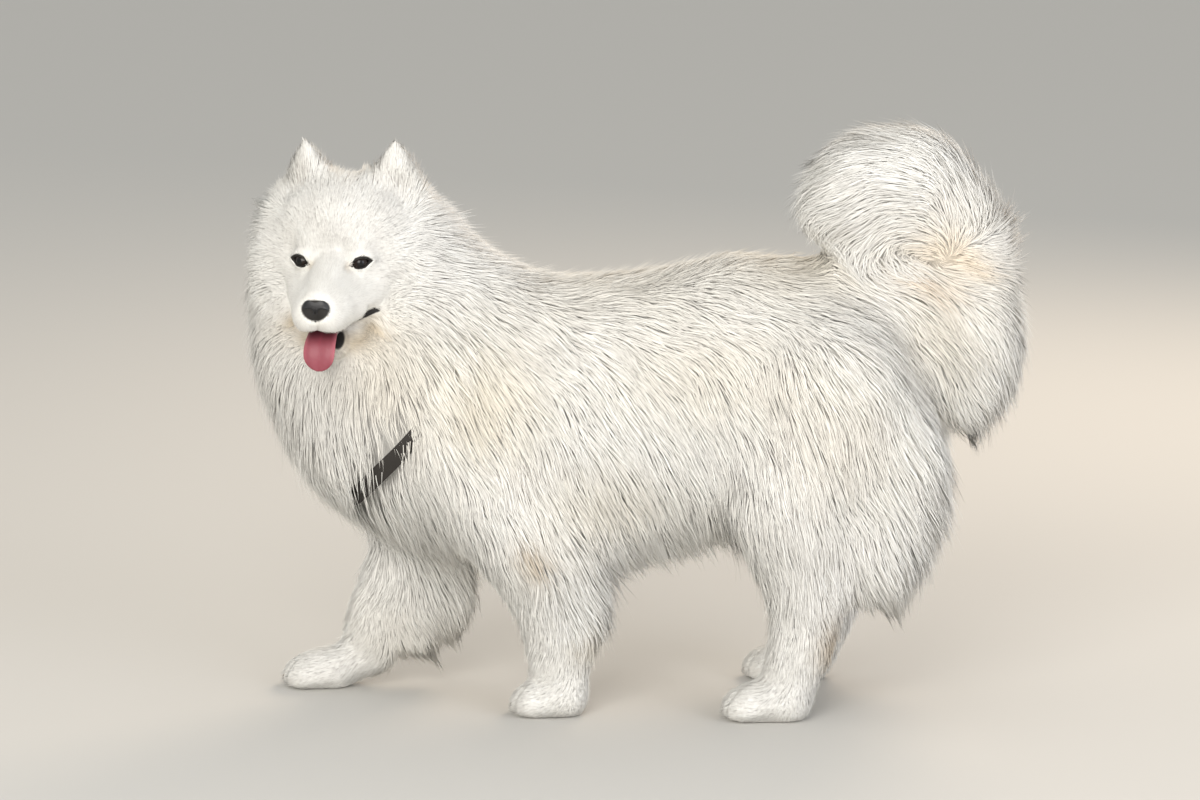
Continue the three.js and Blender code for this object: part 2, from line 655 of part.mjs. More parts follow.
// Neck, strap and trunk. The strap is a flat hoop in a groove between neck and trunk.
function hoopDisc(depth, width) {
  const points = [];
  for (let i = 0; i < STRAP_SIDES; i++) {
    const angle = (i / STRAP_SIDES) * 2 * Math.PI;
    const at = (r) => [r * Math.cos(angle), 0, STRAP_RISE + r * Math.sin(angle)];
    let [near, far] = [60, 340];
    while (far - near > 0.1) {
      const middle = (near + far) / 2;
      const p = new THREE.Vector3(...at(middle)).applyMatrix4(strapAxes).toArray();
      if (coat(p) < -depth) near = middle;
      else far = middle;
    }
    points.push(new THREE.Vector2(at(near)[0], at(near)[2]));
  }
  const lie = strapAxes
    .clone()
    .multiply(new THREE.Matrix4().makeRotationX(Math.PI / 2))
    .multiply(new THREE.Matrix4().makeTranslation(0, 0, -width / 2));
  return solid(new THREE.ExtrudeGeometry(new THREE.Shape(points), { depth: width, bevelEnabled: false }), lie);
}
const strapBed = STRAP_DEPTH + STRAP_THICKNESS;
const strap = hoopDisc(STRAP_DEPTH, STRAP_WIDTH).subtract(hoopDisc(strapBed, STRAP_WIDTH + 20));
addMesh("neck_strap", strap, WEBBING);
const groove = strapRegion(GAP).subtract(hoopDisc(strapBed + GAP, STRAP_WIDTH + 20));

const legCuts = Object.values(legs).map((leg) => leg.region(GAP / 2));
const neckBox = [[-270, -620, 120], [300, 60, 780]];
const neckCuts = [headRegion(GAP / 2), earRegion(LEFT)(GAP / 2), earRegion(RIGHT)(GAP / 2)];
const neck = neckCuts.reduce((piece, cut) => piece.subtract(cut), fleshIn(...neckBox, CELL.neck));
addMesh("neck", mainBody(neck.intersect(neckRegion(-GAP / 2)), CELL.neck), COAT);

const trunkBox = [[-300, -480, 60], [300, 600, 740]];
const trunkCuts = [neckRegion(GAP / 2), tailRegion(GAP / 2), ...legCuts];
const trunk = trunkCuts.reduce((piece, cut) => piece.subtract(cut), fleshIn(...trunkBox, CELL.trunk));
addMesh("trunk", mainBody(trunk, CELL.trunk).subtract(groove), COAT);

// Tail
const tailBox = [[-160, 160, 330], [200, 640, 840]];
const wholeTail = fleshIn(...tailBox, CELL.tail).intersect(tailRegion(-GAP / 2));
const tail = legCuts.reduce((piece, cut) => piece.subtract(cut), wholeTail);
addMesh("tail", mainBody(tail, CELL.tail), COAT);

// Legs, paws and claws
for (const [name, { side, fore, region }] of Object.entries(legs)) {
  const { x, toe, length } = pawPlace(side, fore);
  const low = [side > 0 ? -20 : -260, fore ? -520 : 80, -30];
  const high = [side > 0 ? 260 : 20, fore ? 80 : 560, 520];
  let leg = fleshIn(low, high, CELL.leg)
    .intersect(region(-GAP / 2))
    .subtract(block([-500, -700, -300], [500, 700, PAW_TOP], GAP / 2));
  leg = mainBody(leg, CELL.leg);
  addMesh(name, fore ? mainBody(leg.subtract(groove), 0) : leg, COAT);

  const pawBox = [[x - 75, toe - 30, -30], [x + 75, toe + length + 60, PAW_TOP + 30]];
  const claws = TOE_OFFSETS.map((dx, i) => [x + dx, toe + (i === 0 || i === 3 ? 14 : 2)]);
  const foot = fleshIn(...pawBox, CELL.paw)
    .subtract(floorCut(0))
    .intersect(block([-500, -700, -10], [500, 700, PAW_TOP], -GAP / 2));
  const bare = mainBody(foot, CELL.paw);
  claws.forEach(([cx, cy], i) => addMesh(`claw_${name}_${i + 1}`, claw(cx, cy, 0), CLAW));
  const paws = claws.reduce((piece, [cx, cy]) => piece.subtract(claw(cx, cy, GAP)), bare);
  addMesh(name.replace("leg", "paw"), paws, COAT);
}

// The origin goes under the middle of the whole model
const bounds = new THREE.Box3().setFromObject(group);
const centre = bounds.getCenter(new THREE.Vector3());
for (const mesh of group.children) mesh.position.set(-centre.x, -centre.y, 0);

export default group;
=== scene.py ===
# %% [markdown]
# # A samoyed, modelled at life size
# A samoyed is a white spitz with a coat of two layers: a dense woolly undercoat and long, straight
# guard hairs that stand off the body. It is longest on the ruff, the trousers and the plumed tail, and
# short and flat on the face, the ears' fronts and the feet.
#
# The lesson goes from the inside out: the measured solids become one skin, the head is shaped on it,
# the bare parts are set in (nose, eyes, tongue, claws, strap), and the coat is laid over the skin in
# thin tufts that follow the lie of the hair.

# %% Load the measured solids
import json
import math

import bmesh
import bpy
import numpy as np
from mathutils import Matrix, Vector
from mathutils.bvhtree import BVHTree
from mathutils.kdtree import KDTree

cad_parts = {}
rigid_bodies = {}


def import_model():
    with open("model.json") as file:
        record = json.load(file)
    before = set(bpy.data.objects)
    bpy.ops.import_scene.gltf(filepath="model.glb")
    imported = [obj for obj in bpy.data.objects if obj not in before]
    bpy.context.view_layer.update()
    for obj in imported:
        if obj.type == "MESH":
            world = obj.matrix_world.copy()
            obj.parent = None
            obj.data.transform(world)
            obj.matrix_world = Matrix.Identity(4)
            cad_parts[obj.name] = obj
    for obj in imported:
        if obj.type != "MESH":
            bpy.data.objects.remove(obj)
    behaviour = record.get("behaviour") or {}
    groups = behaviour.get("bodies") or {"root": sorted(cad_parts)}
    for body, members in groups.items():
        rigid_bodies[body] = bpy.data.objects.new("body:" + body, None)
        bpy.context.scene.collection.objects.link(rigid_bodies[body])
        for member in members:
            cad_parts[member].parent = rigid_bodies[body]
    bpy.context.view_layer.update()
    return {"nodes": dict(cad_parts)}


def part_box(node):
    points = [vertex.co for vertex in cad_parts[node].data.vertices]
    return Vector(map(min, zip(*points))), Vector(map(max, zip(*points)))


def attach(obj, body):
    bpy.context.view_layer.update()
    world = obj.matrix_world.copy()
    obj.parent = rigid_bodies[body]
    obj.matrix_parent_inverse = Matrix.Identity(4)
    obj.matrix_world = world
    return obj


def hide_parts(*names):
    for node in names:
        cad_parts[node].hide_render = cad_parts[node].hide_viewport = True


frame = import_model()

bpy.ops.object.select_all(action="DESELECT")
rng = np.random.default_rng(7)
MM = 0.001


# %% [markdown]
# ## Colours and shader nodes
# Colours are chosen as they look on a screen and turned linear for the shaders. A material could be
# wired by hand in the shader editor; in code it can be read and changed as a whole. One function adds
# a node of any kind with its settings and links.


# %% Helpers for colours and shader nodes
def linear(colour):
    """A colour such as "f2efe6" as linear red, green, blue and 1."""
    parts = [int(colour[i : i + 2], 16) / 255 for i in (0, 2, 4)]
    return [c / 12.92 if c <= 0.04045 else ((c + 0.055) / 1.055) ** 2.4 for c in parts] + [1.0]


def add_node(material, kind, settings=None, links=None):
    """Adds a shader node. Settings name an input or a property; links name an input and give a socket."""
    made = material.node_tree.nodes.new(kind)
    for name, value in (settings or {}).items():
        if hasattr(made, name):
            setattr(made, name, value)
        else:
            made.inputs[name].default_value = value
    for name, socket in (links or {}).items():
        material.node_tree.links.new(socket, made.inputs[name])
    return made


def new_material(name, **shader):
    """A material with one Principled shader, its sockets set by name with _ for a space."""
    made = bpy.data.materials.new(name)
    made.use_nodes = True
    principled = made.node_tree.nodes["Principled BSDF"]
    for socket, value in shader.items():
        principled.inputs[socket.replace("_", " ")].default_value = value
    return made, principled


def connect(material, source, principled, socket):
    material.node_tree.links.new(source, principled.inputs[socket])


print("mid grey in linear light:", round(linear("808080")[0], 3))


# %% [markdown]
# ## Points as tables
# Blender hands the points of a mesh over as one long row of numbers. As a table with a row for each
# point, all of them move in one line of arithmetic, which is far faster than a loop over the mesh.


# %% Helpers for points and selections
def points_of(item):
    co = np.empty(len(item.data.vertices) * 3, np.float32)
    item.data.vertices.foreach_get("co", co)
    return co.reshape(-1, 3).astype(float)


def normals_of(item):
    values = np.empty(len(item.data.vertices) * 3, np.float32)
    item.data.vertices.foreach_get("normal", values)
    return values.reshape(-1, 3).astype(float)


def select_only(item):
    bpy.ops.object.select_all(action="DESELECT")
    item.select_set(True)
    bpy.context.view_layer.objects.active = item


def step_between(low, high, value):
    """0 below low, 1 above high, and a smooth rise between them."""
    t = np.clip((value - low) / (high - low), 0, 1)
    return t * t * (3 - 2 * t)


# %% [markdown]
# ## Camera
# The picture is taken from the dog's left side, a little above its back. The lens is long, so the far
# legs look nearly as big as the near ones. Places are in metres, lens and sensor in millimetres.

# %% Camera
CAMERA_TARGET = Vector((-0.0108, -0.0451, 0.408))
CAMERA_DISTANCE = 5.985
CAMERA_ELEVATION = math.radians(11)

camera = bpy.data.objects.new("camera", bpy.data.cameras.new("camera"))
bpy.context.scene.collection.objects.link(camera)
camera.data.lens = 135
camera.data.sensor_width = 36
look_back = Vector((math.cos(CAMERA_ELEVATION), 0, math.sin(CAMERA_ELEVATION)))
camera.location = CAMERA_TARGET + CAMERA_DISTANCE * look_back
camera.rotation_euler = look_back.to_track_quat("Z", "Y").to_euler()
bpy.context.scene.camera = camera
print("camera at", [round(value, 3) for value in camera.location])

# %% [markdown]
# ## Floor and light
# The floor is plain and pale. A big soft light stands on the camera's side, above the dog and a
# little towards its head. A weaker one, further round to the tail, fills the shadows. A warm one above
# the far side lights the ends of the hair, as evening sun does. Large lights keep shadows soft.

# %% Floor and studio light
FLOOR_SIZE = 40
WORLD_STRENGTH = 0.84

bpy.ops.mesh.primitive_plane_add(size=FLOOR_SIZE, location=(0, 0, 0))
floor = bpy.context.active_object
floor.name = "floor"
# Board rolled with matt paint: it scatters the light evenly and has no gloss
floor_material, _ = new_material("matt studio floor", Base_Color=linear("cac8c3"), Roughness=0.9)
floor.data.materials.append(floor_material)

world = bpy.data.worlds.new("studio")
bpy.context.scene.world = world
world.use_nodes = True
background = world.node_tree.nodes["Background"]
background.inputs["Color"].default_value = linear("e8e8e6")
background.inputs["Strength"].default_value = WORLD_STRENGTH


def area_light(name, place, aim, size, power, colour):
    """A square soft light at place, turned to aim, in metres and watts."""
    lamp = bpy.data.lights.new(name, "AREA")
    lamp.size = size
    lamp.energy = power
    lamp.color = linear(colour)[:3]
    made = bpy.data.objects.new(name, lamp)
    made.location = place
    made.rotation_euler = (Vector(place) - Vector(aim)).to_track_quat("Z", "Y").to_euler()
    bpy.context.scene.collection.objects.link(made)


area_light("key", (4.4, -1.3, 2.3), (0, 0, 0.4), 3.0, 180, "fffbf5")
area_light("fill", (3.0, 3.4, 1.6), (0, 0, 0.4), 3.0, 84, "f4f6ff")
area_light("evening sun", (-2.5, 1.3, 2.4), (0, 0.1, 0.62), 1.6, 55, "ffe9d0")
bpy.context.scene.view_settings.view_transform = "Standard"
print("lights:", len(bpy.data.lights))

# %% [markdown]
# ## One skin from the measured solids
# The measured solids are drawn out to the tips of the coat. Copies of those that are flesh and coat
# are joined, their loose triangles merged, and a voxel remesh turns them into one even mesh. The
# facets are then smoothed away with passes that push out as much as they pull in, so that the
# outline stays where it was measured.

# %% Join and remesh the flesh solids
SIDES = ("left", "right")
LIMBS = ("foreleg", "hindleg", "forepaw", "hindpaw")
FLESH = ["head", "lower_jaw", "neck", "trunk", "tail", "ear_left", "ear_right"]
FLESH += [f"{limb}_{side}" for limb in LIMBS for side in SIDES]
MERGE_WITHIN = 0.00002
SKIN_VOXEL = 0.007


def joined_copy(names, name):
    """One object with merged copies of these solids."""
    copies = []
    for node in names:
        made = frame["nodes"][node].copy()
        made.data = made.data.copy()
        made.parent = None
        bpy.context.scene.collection.objects.link(made)
        copies.append(made)
    bpy.ops.object.select_all(action="DESELECT")
    for made in copies:
        made.select_set(True)
    bpy.context.view_layer.objects.active = copies[0]
    bpy.ops.object.join()
    whole = bpy.context.active_object
    whole.name = name
    for key in list(whole.keys()):
        del whole[key]
    bpy.ops.object.mode_set(mode="EDIT")
    bpy.ops.mesh.select_all(action="SELECT")
    bpy.ops.mesh.remove_doubles(threshold=MERGE_WITHIN)
    bpy.ops.object.mode_set(mode="OBJECT")
    return whole


def apply_modifier(item, kind, **settings):
    select_only(item)
    modifier = item.modifiers.new(kind.lower(), kind)
    for key, value in settings.items():
        setattr(modifier, key, value)
    bpy.ops.object.modifier_apply(modifier=modifier.name)


# The nose and the eyeballs go along, so that the skin closes under them.
skin = joined_copy(FLESH + ["nose", "eye_left", "eye_right"], "skin")
apply_modifier(skin, "REMESH", mode="VOXEL", voxel_size=SKIN_VOXEL)
print("remeshed skin:", len(skin.data.vertices), "points")


# %% [markdown]
# ## Even the facets out
# The mesh's edges say which points are neighbours. A point moved towards the middle of its neighbours
# gets smoother but smaller, so every such pass is followed by one that moves it away a little more.
# Below 5 cm the feet only get the last few passes, or their small forms would be lost.


# %% Smooth the skin's facets
PULL, PUSH = 0.5, 0.52
FACET_PASSES, LAST_PASSES = 60, 6


def edges_of(mesh):
    pairs = np.empty(len(mesh.edges) * 2, np.int32)
    mesh.edges.foreach_get("vertices", pairs)
    return pairs.reshape(-1, 2)


def neighbour_mean(values, pairs, count):
    """The mean of each point's neighbours."""
    total = np.zeros_like(values)
    for axis in range(values.shape[1]):
        column = values[:, axis]
        total[:, axis] += np.bincount(pairs[:, 0], column[pairs[:, 1]], len(values))
        total[:, axis] += np.bincount(pairs[:, 1], column[pairs[:, 0]], len(values))
    return total / count[:, None]


def relaxed(points, pairs, passes, weight=1.0, shrink=False):
    """Points after that many smoothing passes, each followed by one outwards unless shrink is set."""
    count = np.bincount(pairs.ravel(), minlength=len(points)).astype(float)
    share = np.broadcast_to(np.asarray(weight, float), len(points))[:, None]
    for _ in range(passes):
        points = points + PULL * share * (neighbour_mean(points, pairs, count) - points)
        if not shrink:
            points = points - PUSH * share * (neighbour_mean(points, pairs, count) - points)
    return points


def write_points(item, points):
    item.data.vertices.foreach_set("co", np.ascontiguousarray(points, np.float32).ravel())
    item.data.update()


points = points_of(skin)
pairs = edges_of(skin.data)
above_feet = step_between(0.05, 0.14, points[:, 2])
points = relaxed(points, pairs, FACET_PASSES, above_feet)
points = relaxed(points, pairs, LAST_PASSES)
print("skin edges:", len(pairs))

# %% [markdown]
# ## Hair over the strap
# The strap's solid leaves a groove in the skin, but on the dog hair closes over the strap nearly all
# round. The groove is smoothed shut, and the skin is lifted over the part that is hidden. Only a
# stretch on the near side of the chest stays open.


# %% Close the strap's groove
GROOVE_PASSES = 160
STRAP_COVER = 0.009


def tree_of(node):
    """A search tree over the faces of a measured solid."""
    faces = [list(face.vertices) for face in node.data.polygons]
    return BVHTree.FromPolygons(points_of(node).tolist(), faces)


def strap_shows(points):
    """1 where the strap lies open on the near side of the chest, 0 where hair covers it."""
    along = step_between(-0.395, -0.36, points[:, 1]) * step_between(-0.27, -0.31, points[:, 1])
    return along * (points[:, 0] > 0.02)


strap_tree = tree_of(frame["nodes"]["neck_strap"])
to_strap = np.array([strap_tree.find_nearest(point)[3] for point in points.tolist()])
points = relaxed(points, pairs, GROOVE_PASSES, step_between(0.03, 0.018, to_strap), shrink=True)
write_points(skin, points)
cover = STRAP_COVER * step_between(0.034, 0.012, to_strap) * (1 - strap_shows(points))
points = points + normals_of(skin) * cover[:, None]
write_points(skin, points)
print("skin box in mm:", np.round(points.min(0) / MM), np.round(points.max(0) / MM))

# %% [markdown]
# ## The head's own directions
# The head is turned to the dog's left and tipped down a little. Two angles give its own directions:
# forward along the muzzle, to the dog's left, and up. All sizes of the head are in millimetres along
# these three. They start in the middle of the skull, at a set place behind the measured eyes.


# %% Directions of the head
def middle(node):
    low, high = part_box(node)
    return np.array((low + high) / 2)


# The yaw is what the head lacks to look straight to the dog's left
HEAD_YAW = math.radians(12)
HEAD_PITCH = math.radians(8)
EYES_AHEAD, EYES_LEFT, EYES_UP = 66, -2, -24

forward = np.array(
    [
        math.cos(HEAD_PITCH) * math.cos(HEAD_YAW),
        -math.cos(HEAD_PITCH) * math.sin(HEAD_YAW),
        -math.sin(HEAD_PITCH),
    ]
)
leftward = np.array([math.sin(HEAD_YAW), math.cos(HEAD_YAW), 0.0])
upward = np.cross(forward, leftward)
head_axes = np.stack([forward, leftward, upward])
eye_middle = (middle("eye_left") + middle("eye_right")) / 2
head_origin = eye_middle - MM * (EYES_AHEAD * forward + EYES_LEFT * leftward + EYES_UP * upward)


def in_head(points):
    """Points of the model as head sizes in mm: forward, left, up."""
    return (np.asarray(points) - head_origin) @ head_axes.T / MM


def from_head(places):
    """Points of the model in m from head sizes."""
    return np.asarray(places, float) @ head_axes * MM + head_origin


def left_side(places):
    """Head places folded over to the left side, which stands for both."""
    return np.column_stack([places[:, 0], np.abs(places[:, 1]), places[:, 2]])


print("head origin in mm:", np.round(head_origin / MM, 1))
for solid in ("nose", "eye_left", "eye_right"):
    print(solid, "at", np.round(in_head(middle(solid)), 1))

# %% [markdown]
# ## A finer face
# The measured head is too coarse for a face. It could be sculpted by hand, but a form that is written
# down can be measured and mended. Round cones that flow into each other describe the head to the tips
# of its short hair. Each one gives the distance of any place to itself.


# %% Round cones that flow together
def lump(places, start, end, start_radius, end_radius, stretch=(1, 1, 1)):
    """Distance in mm from places to a round cone. A stretch above 1 makes it narrower that way."""
    stretch = np.array(stretch, float)
    begin = np.array(start, float) * stretch
    run = np.array(end, float) * stretch - begin
    away = places * stretch - begin
    t = np.clip(away @ run / max(run @ run, 1e-6), 0, 1)
    return np.linalg.norm(away - t[:, None] * run, axis=1) - start_radius - t * (end_radius - start_radius)


def flow_together(forms, blend):
    total = forms[0]
    for form in forms[1:]:
        near = np.maximum(blend - np.abs(total - form), 0) / blend
        total = np.minimum(total, form) - near * near * blend / 4
    return total


# %% [markdown]
# ## The open mouth
# The mouth is a wedge that opens forward from its corners. The upper lip sags behind the nose and lies
# higher under it, as the two whisker pads meet there.


# %% Wedge of the mouth
MOUTH_CORNER = (66, -82)
MOUTH_HALF_WIDTH = 60
LIP_DROP = 13
LIP_DROP_REACH = 25
LIP_NOTCH = 30
JAW_SLOPE = 0.47


def mouth_wedge(places):
    """Distance to the open mouth, negative inside it."""
    ahead = places[:, 0] - MOUTH_CORNER[0]
    down = MOUTH_CORNER[1] - places[:, 2]
    notch = 0.005 * (LIP_NOTCH**2 - np.minimum(places[:, 1] ** 2, LIP_NOTCH**2))
    lip = LIP_DROP * (1 - np.exp(-np.maximum(ahead, 0) / LIP_DROP_REACH)) - notch
    across = np.abs(places[:, 1]) - MOUTH_HALF_WIDTH
    return np.maximum.reduce([lip - down, down - 1 - JAW_SLOPE * ahead, -ahead, across])


print("distance to the mouth from inside it:", mouth_wedge(np.array([[110.0, 0.0, -100.0]])).round(1))


# %% [markdown]
# ## The form of the head
# Seventeen round cones make the head, and the wedge of the mouth is cut out of them. The slope of the
# distance says which way the surface lies from any place.


# %% Form of the whole head
FORM_BLEND = 14
# Start, end, their radii and the stretch of each round cone, in mm
HEAD_CONES = [
    ((-6, 0, 6), (-6, 0, 6), 71, 71, (1, 0.92, 1)),  # skull
    ((24, 0, 12), (24, 0, 12), 45, 45, (1, 0.88, 1)),  # forehead
    ((-46, 0, -10), (-46, 0, -10), 77, 77),  # back of the head
    ((60, 0, -32), (146, 0, -51), 26, 17, (1, 0.85, 1)),  # bridge of the nose
    ((0, 54, -42), (0, 54, -42), 50, 50),  # cheek
    ((-36, 85, -46), (-36, 85, -46), 59, 59),  # ruff beside the cheek
    ((-34, 86, 6), (-34, 86, 6), 41, 41),  # ruff under the ear
    ((-12, 0, -34), (-12, 66, -34), 56, 56),  # from cheek to cheek
    ((6, 44, 8), (6, 44, 8), 44, 44),  # temple
    ((50, 32, -2), (50, 32, -2), 18, 18),  # brow
    ((38, 46, -52), (38, 46, -52), 27, 27),  # cheekbone
    ((59, 36, -25), (59, 36, -25), 17, 17),  # round the eye
    ((72, 26, -67), (143, 13, -74), 30, 21),  # whisker pad
    ((56, 45, -72), (90, 34, -79), 21, 17),  # lip behind the pad
    ((128, 14, -70), (140, 12, -74), 22, 20),  # end of the muzzle
    ((46, 0, -108), (122, 0, -135), 29, 13, (1, 0.55, 1)),  # lower jaw
    ((0, 0, -90), (0, 0, -90), 55, 55),  # throat
]


def whole_face(places):
    """Distance to the head with its mouth shut, negative inside it."""
    mirrored = left_side(places)
    return flow_together([lump(mirrored, *cone) for cone in HEAD_CONES], FORM_BLEND)


def face_field(places):
    """Distance to the head with its mouth open."""
    return np.maximum(whole_face(places), -mouth_wedge(places))


def gradient(field, places, step=0.4):
    """Unit directions away from the form at these places."""
    slope = np.empty_like(places)
    for axis in range(3):
        move = np.zeros(3)
        move[axis] = step
        slope[:, axis] = (field(places + move) - field(places - move)) / (2 * step)
    return slope / np.maximum(np.linalg.norm(slope, axis=1), 1e-9)[:, None]


print("cones of the head:", len(HEAD_CONES))

# %% [markdown]
# ## Refine the face and move it onto its form
# The remeshed head is refined twice in front and twice more round the eyes. After each cut, its
# points are moved onto the form in four moves, so that the face comes out as smooth and as sharp as
# the form is. The face fades into the ruff, where the measured outline stays.


# %% Refine the face
REFINE_WITHIN = (None, None, 23, 18)
MOVES = 4


def refine(item, wanted):
    """Cuts each edge with both ends wanted in two, and turns all faces into triangles and quads."""
    work = bmesh.new()
    work.from_mesh(item.data)
    work.verts.ensure_lookup_table()
    chosen = [edge for edge in work.edges if wanted[edge.verts[0].index] and wanted[edge.verts[1].index]]
    bmesh.ops.subdivide_edges(work, edges=chosen, cuts=1, use_grid_fill=True, smooth=0)
    many = [face for face in work.faces if len(face.verts) > 4]
    bmesh.ops.triangulate(work, faces=many)
    work.to_mesh(item.data)
    work.free()
    item.data.update()


EYE_PLACES = {"left": in_head(middle("eye_left")), "right": in_head(middle("eye_right"))}


def near_eyes(places):
    return np.minimum(*[np.linalg.norm(places - place, axis=1) for place in EYE_PLACES.values()])


def face_share(places):
    """1 on the face, 0 on the ruff, the ears, the neck and the back of the head."""
    front = step_between(2, 34, places[:, 0]) * step_between(105, 85, np.abs(places[:, 1]))
    under_ears = step_between(66, 50, places[:, 2] - 0.25 * places[:, 0])
    return front * under_ears * step_between(-175, -150, places[:, 2])


def to_be_refined(places, reach):
    """The points of the face, or those within reach mm of an eye if a reach is given."""
    if reach is not None:
        return near_eyes(places) < reach
    wanted = (face_share(places) > 0.3) & (np.abs(places[:, 1]) < 75)
    return wanted & (np.abs(whole_face(places)) < 12)


for reach in REFINE_WITHIN:
    refine(skin, to_be_refined(in_head(points_of(skin)), reach))
    places = in_head(points_of(skin))
    for _ in range(MOVES):
        share = face_share(places)
        active = share > 0
        part = places[active]
        distance = face_field(part)
        share = share[active] * step_between(14, 6, np.abs(distance))
        places[active] = part - (share * 0.8 * distance)[:, None] * gradient(face_field, part)
    write_points(skin, from_head(places))
    print("refined skin:", len(places), "points")

# %% [markdown]
# ## Even the stretched walls
# The pull towards the form stretches some triangles, at the chin and behind the mouth's corners.
# There the points are smoothed once more.

# %% Smooth the chin and the mouth's corners
EVENING_PASSES = 25
CORNER_WALL = (80, 64, 98)

places = in_head(points_of(skin))
chin = step_between(66, 78, places[:, 0]) * step_between(-96, -104, places[:, 2])
chin = chin * step_between(-170, -150, places[:, 2])
corner = np.linalg.norm(np.abs(places) - CORNER_WALL, axis=1)
by_corner = step_between(30, 18, corner) * (places[:, 0] > 60)
uneven = np.maximum(chin * step_between(52, 44, np.abs(places[:, 1])), by_corner)
smooth = relaxed(points_of(skin), edges_of(skin.data), EVENING_PASSES, uneven, shrink=True)
write_points(skin, smooth)
print("points evened out:", int((uneven > 0).sum()))

# %% [markdown]
# ## How the coat lies
# A table of places on the dog says which way the hair points there, how long it is, how deep the coat
# stands over the skin, how far its ends may leave the form, and how wide a tuft is. Hair could be
# combed by hand instead, but a table gives the same coat each time. Hair runs from the nose back over
# the skull, falls from the neck and the ribs backwards and down, and fans out from the tail.

# %% Guides on the head
# Places are forward, left and up from the middle of the skull, and the left side also stands for the
# right. Columns: place, direction, length, depth, free, width. Sizes are in mm, and free is a share.
HEAD_GUIDES = [
    ((150, 0, -42), (-1, 0, 0.2), 7, 2.0, 0, 0.8),
    ((112, 0, -26), (-1, 0, 0.25), 9, 2.5, 0, 0.8),
    ((74, 0, -4), (-0.75, 0, 0.65), 12, 3.5, 0, 0.9),
    ((46, 22, 34), (-0.55, 0.3, 0.8), 20, 6, 0, 1.1),
    ((10, 0, 74), (-0.95, 0, 0.2), 30, 12, 0.1, 1.4),
    ((-24, 0, 82), (-1, 0, -0.05), 38, 16, 0.1, 1.6),
    ((108, 32, -60), (-0.95, 0.25, -0.12), 9, 2.5, 0, 0.8),
    ((142, 27, -74), (-0.75, 0.35, -0.5), 8, 2.2, 0, 0.7),
    ((156, 9, -84), (-0.2, 0.35, -0.9), 7, 2.0, 0.1, 0.7),
    ((66, 50, -52), (-0.85, 0.5, -0.2), 12, 4, 0, 0.9),
    ((86, 24, -20), (-0.85, 0.25, 0.3), 8, 2.2, 0, 0.8),
    ((50, 60, -18), (-0.75, 0.65, 0.1), 15, 5, 0, 1.0),
    ((60, 32, 6), (-0.6, 0.3, 0.75), 12, 4, 0, 0.9),
    ((30, 84, -50), (-0.6, 0.65, -0.45), 40, 18, 0.15, 1.5),
    ((84, 46, -80), (-1, 0.2, 0.15), 8, 2.0, 0, 0.8),
    ((108, 38, -84), (-1, 0.15, 0.05), 7, 1.8, 0, 0.7),
    ((58, 60, -80), (-0.9, 0.4, -0.1), 9, 2.5, 0.0, 0.8),
    ((50, 68, -92), (-0.7, 0.5, -0.5), 14, 4, 0.1, 0.9),
    ((72, 66, -94), (-0.6, 0.4, -0.7), 16, 5, 0.1, 1.1),
    ((88, 66, -110), (-0.5, 0.3, -0.8), 20, 8, 0.1, 1.2),
    ((78, 80, -106), (-0.5, 0.4, -0.75), 26, 10, 0.1, 1.3),
    ((70, 46, -112), (-0.85, 0.3, -0.45), 18, 5, 0.1, 1.0),
    ((22, 72, -96), (-0.4, 0.5, -0.75), 50, 24, 0.2, 1.6),
    ((22, 78, 8), (-0.8, 0.6, 0.15), 28, 12, 0.1, 1.4),
    ((12, 60, 44), (-0.75, 0.45, 0.5), 24, 10, 0.1, 1.2),
    ((-30, 128, -44), (-0.45, 0.6, -0.65), 72, 40, 0.45, 1.9),
    ((-36, 118, 16), (-0.45, 0.8, 0.05), 56, 30, 0.5, 1.8),
    ((-22, 104, -110), (-0.3, 0.4, -0.87), 85, 42, 0.3, 2.0),
    ((92, 22, -120), (-0.7, 0.35, -0.6), 14, 4, 0.1, 0.9),
    ((122, 0, -148), (-0.4, 0, -0.9), 16, 4, 0.2, 0.9),
    ((54, 0, -142), (-0.15, 0, -1), 62, 26, 0.3, 1.7),
    ((34, 52, -134), (-0.25, 0.3, -0.92), 66, 30, 0.3, 1.8),
    ((-84, 0, 40), (-0.9, 0, -0.45), 62, 34, 0.2, 1.9),
    ((-72, 84, 4), (-0.8, 0.45, -0.4), 66, 38, 0.3, 1.9),
    ((-8, 57, 60), (0, 0.05, 1), 22, 4.5, 0.3, 1.3),
    ((-14, 62, 98), (-0.1, 0.05, 1), 13, 3.5, 0.1, 1.1),
    ((-42, 62, 64), (-0.25, 0.1, 0.95), 28, 6, 0.2, 1.6),
    ((-20, 84, 62), (-0.2, 0.35, 0.9), 26, 5, 0.5, 1.4),
    ((-20, 36, 64), (-0.2, -0.25, 0.95), 26, 5, 0.5, 1.4),
]
print("guides on the head:", len(HEAD_GUIDES))

# %% [markdown]
# ## Guides on the body
# The same columns follow for the body. They go along the back, down the neck and the chest, over the
# flanks and the rump, down the legs to the feet, and round the tail.

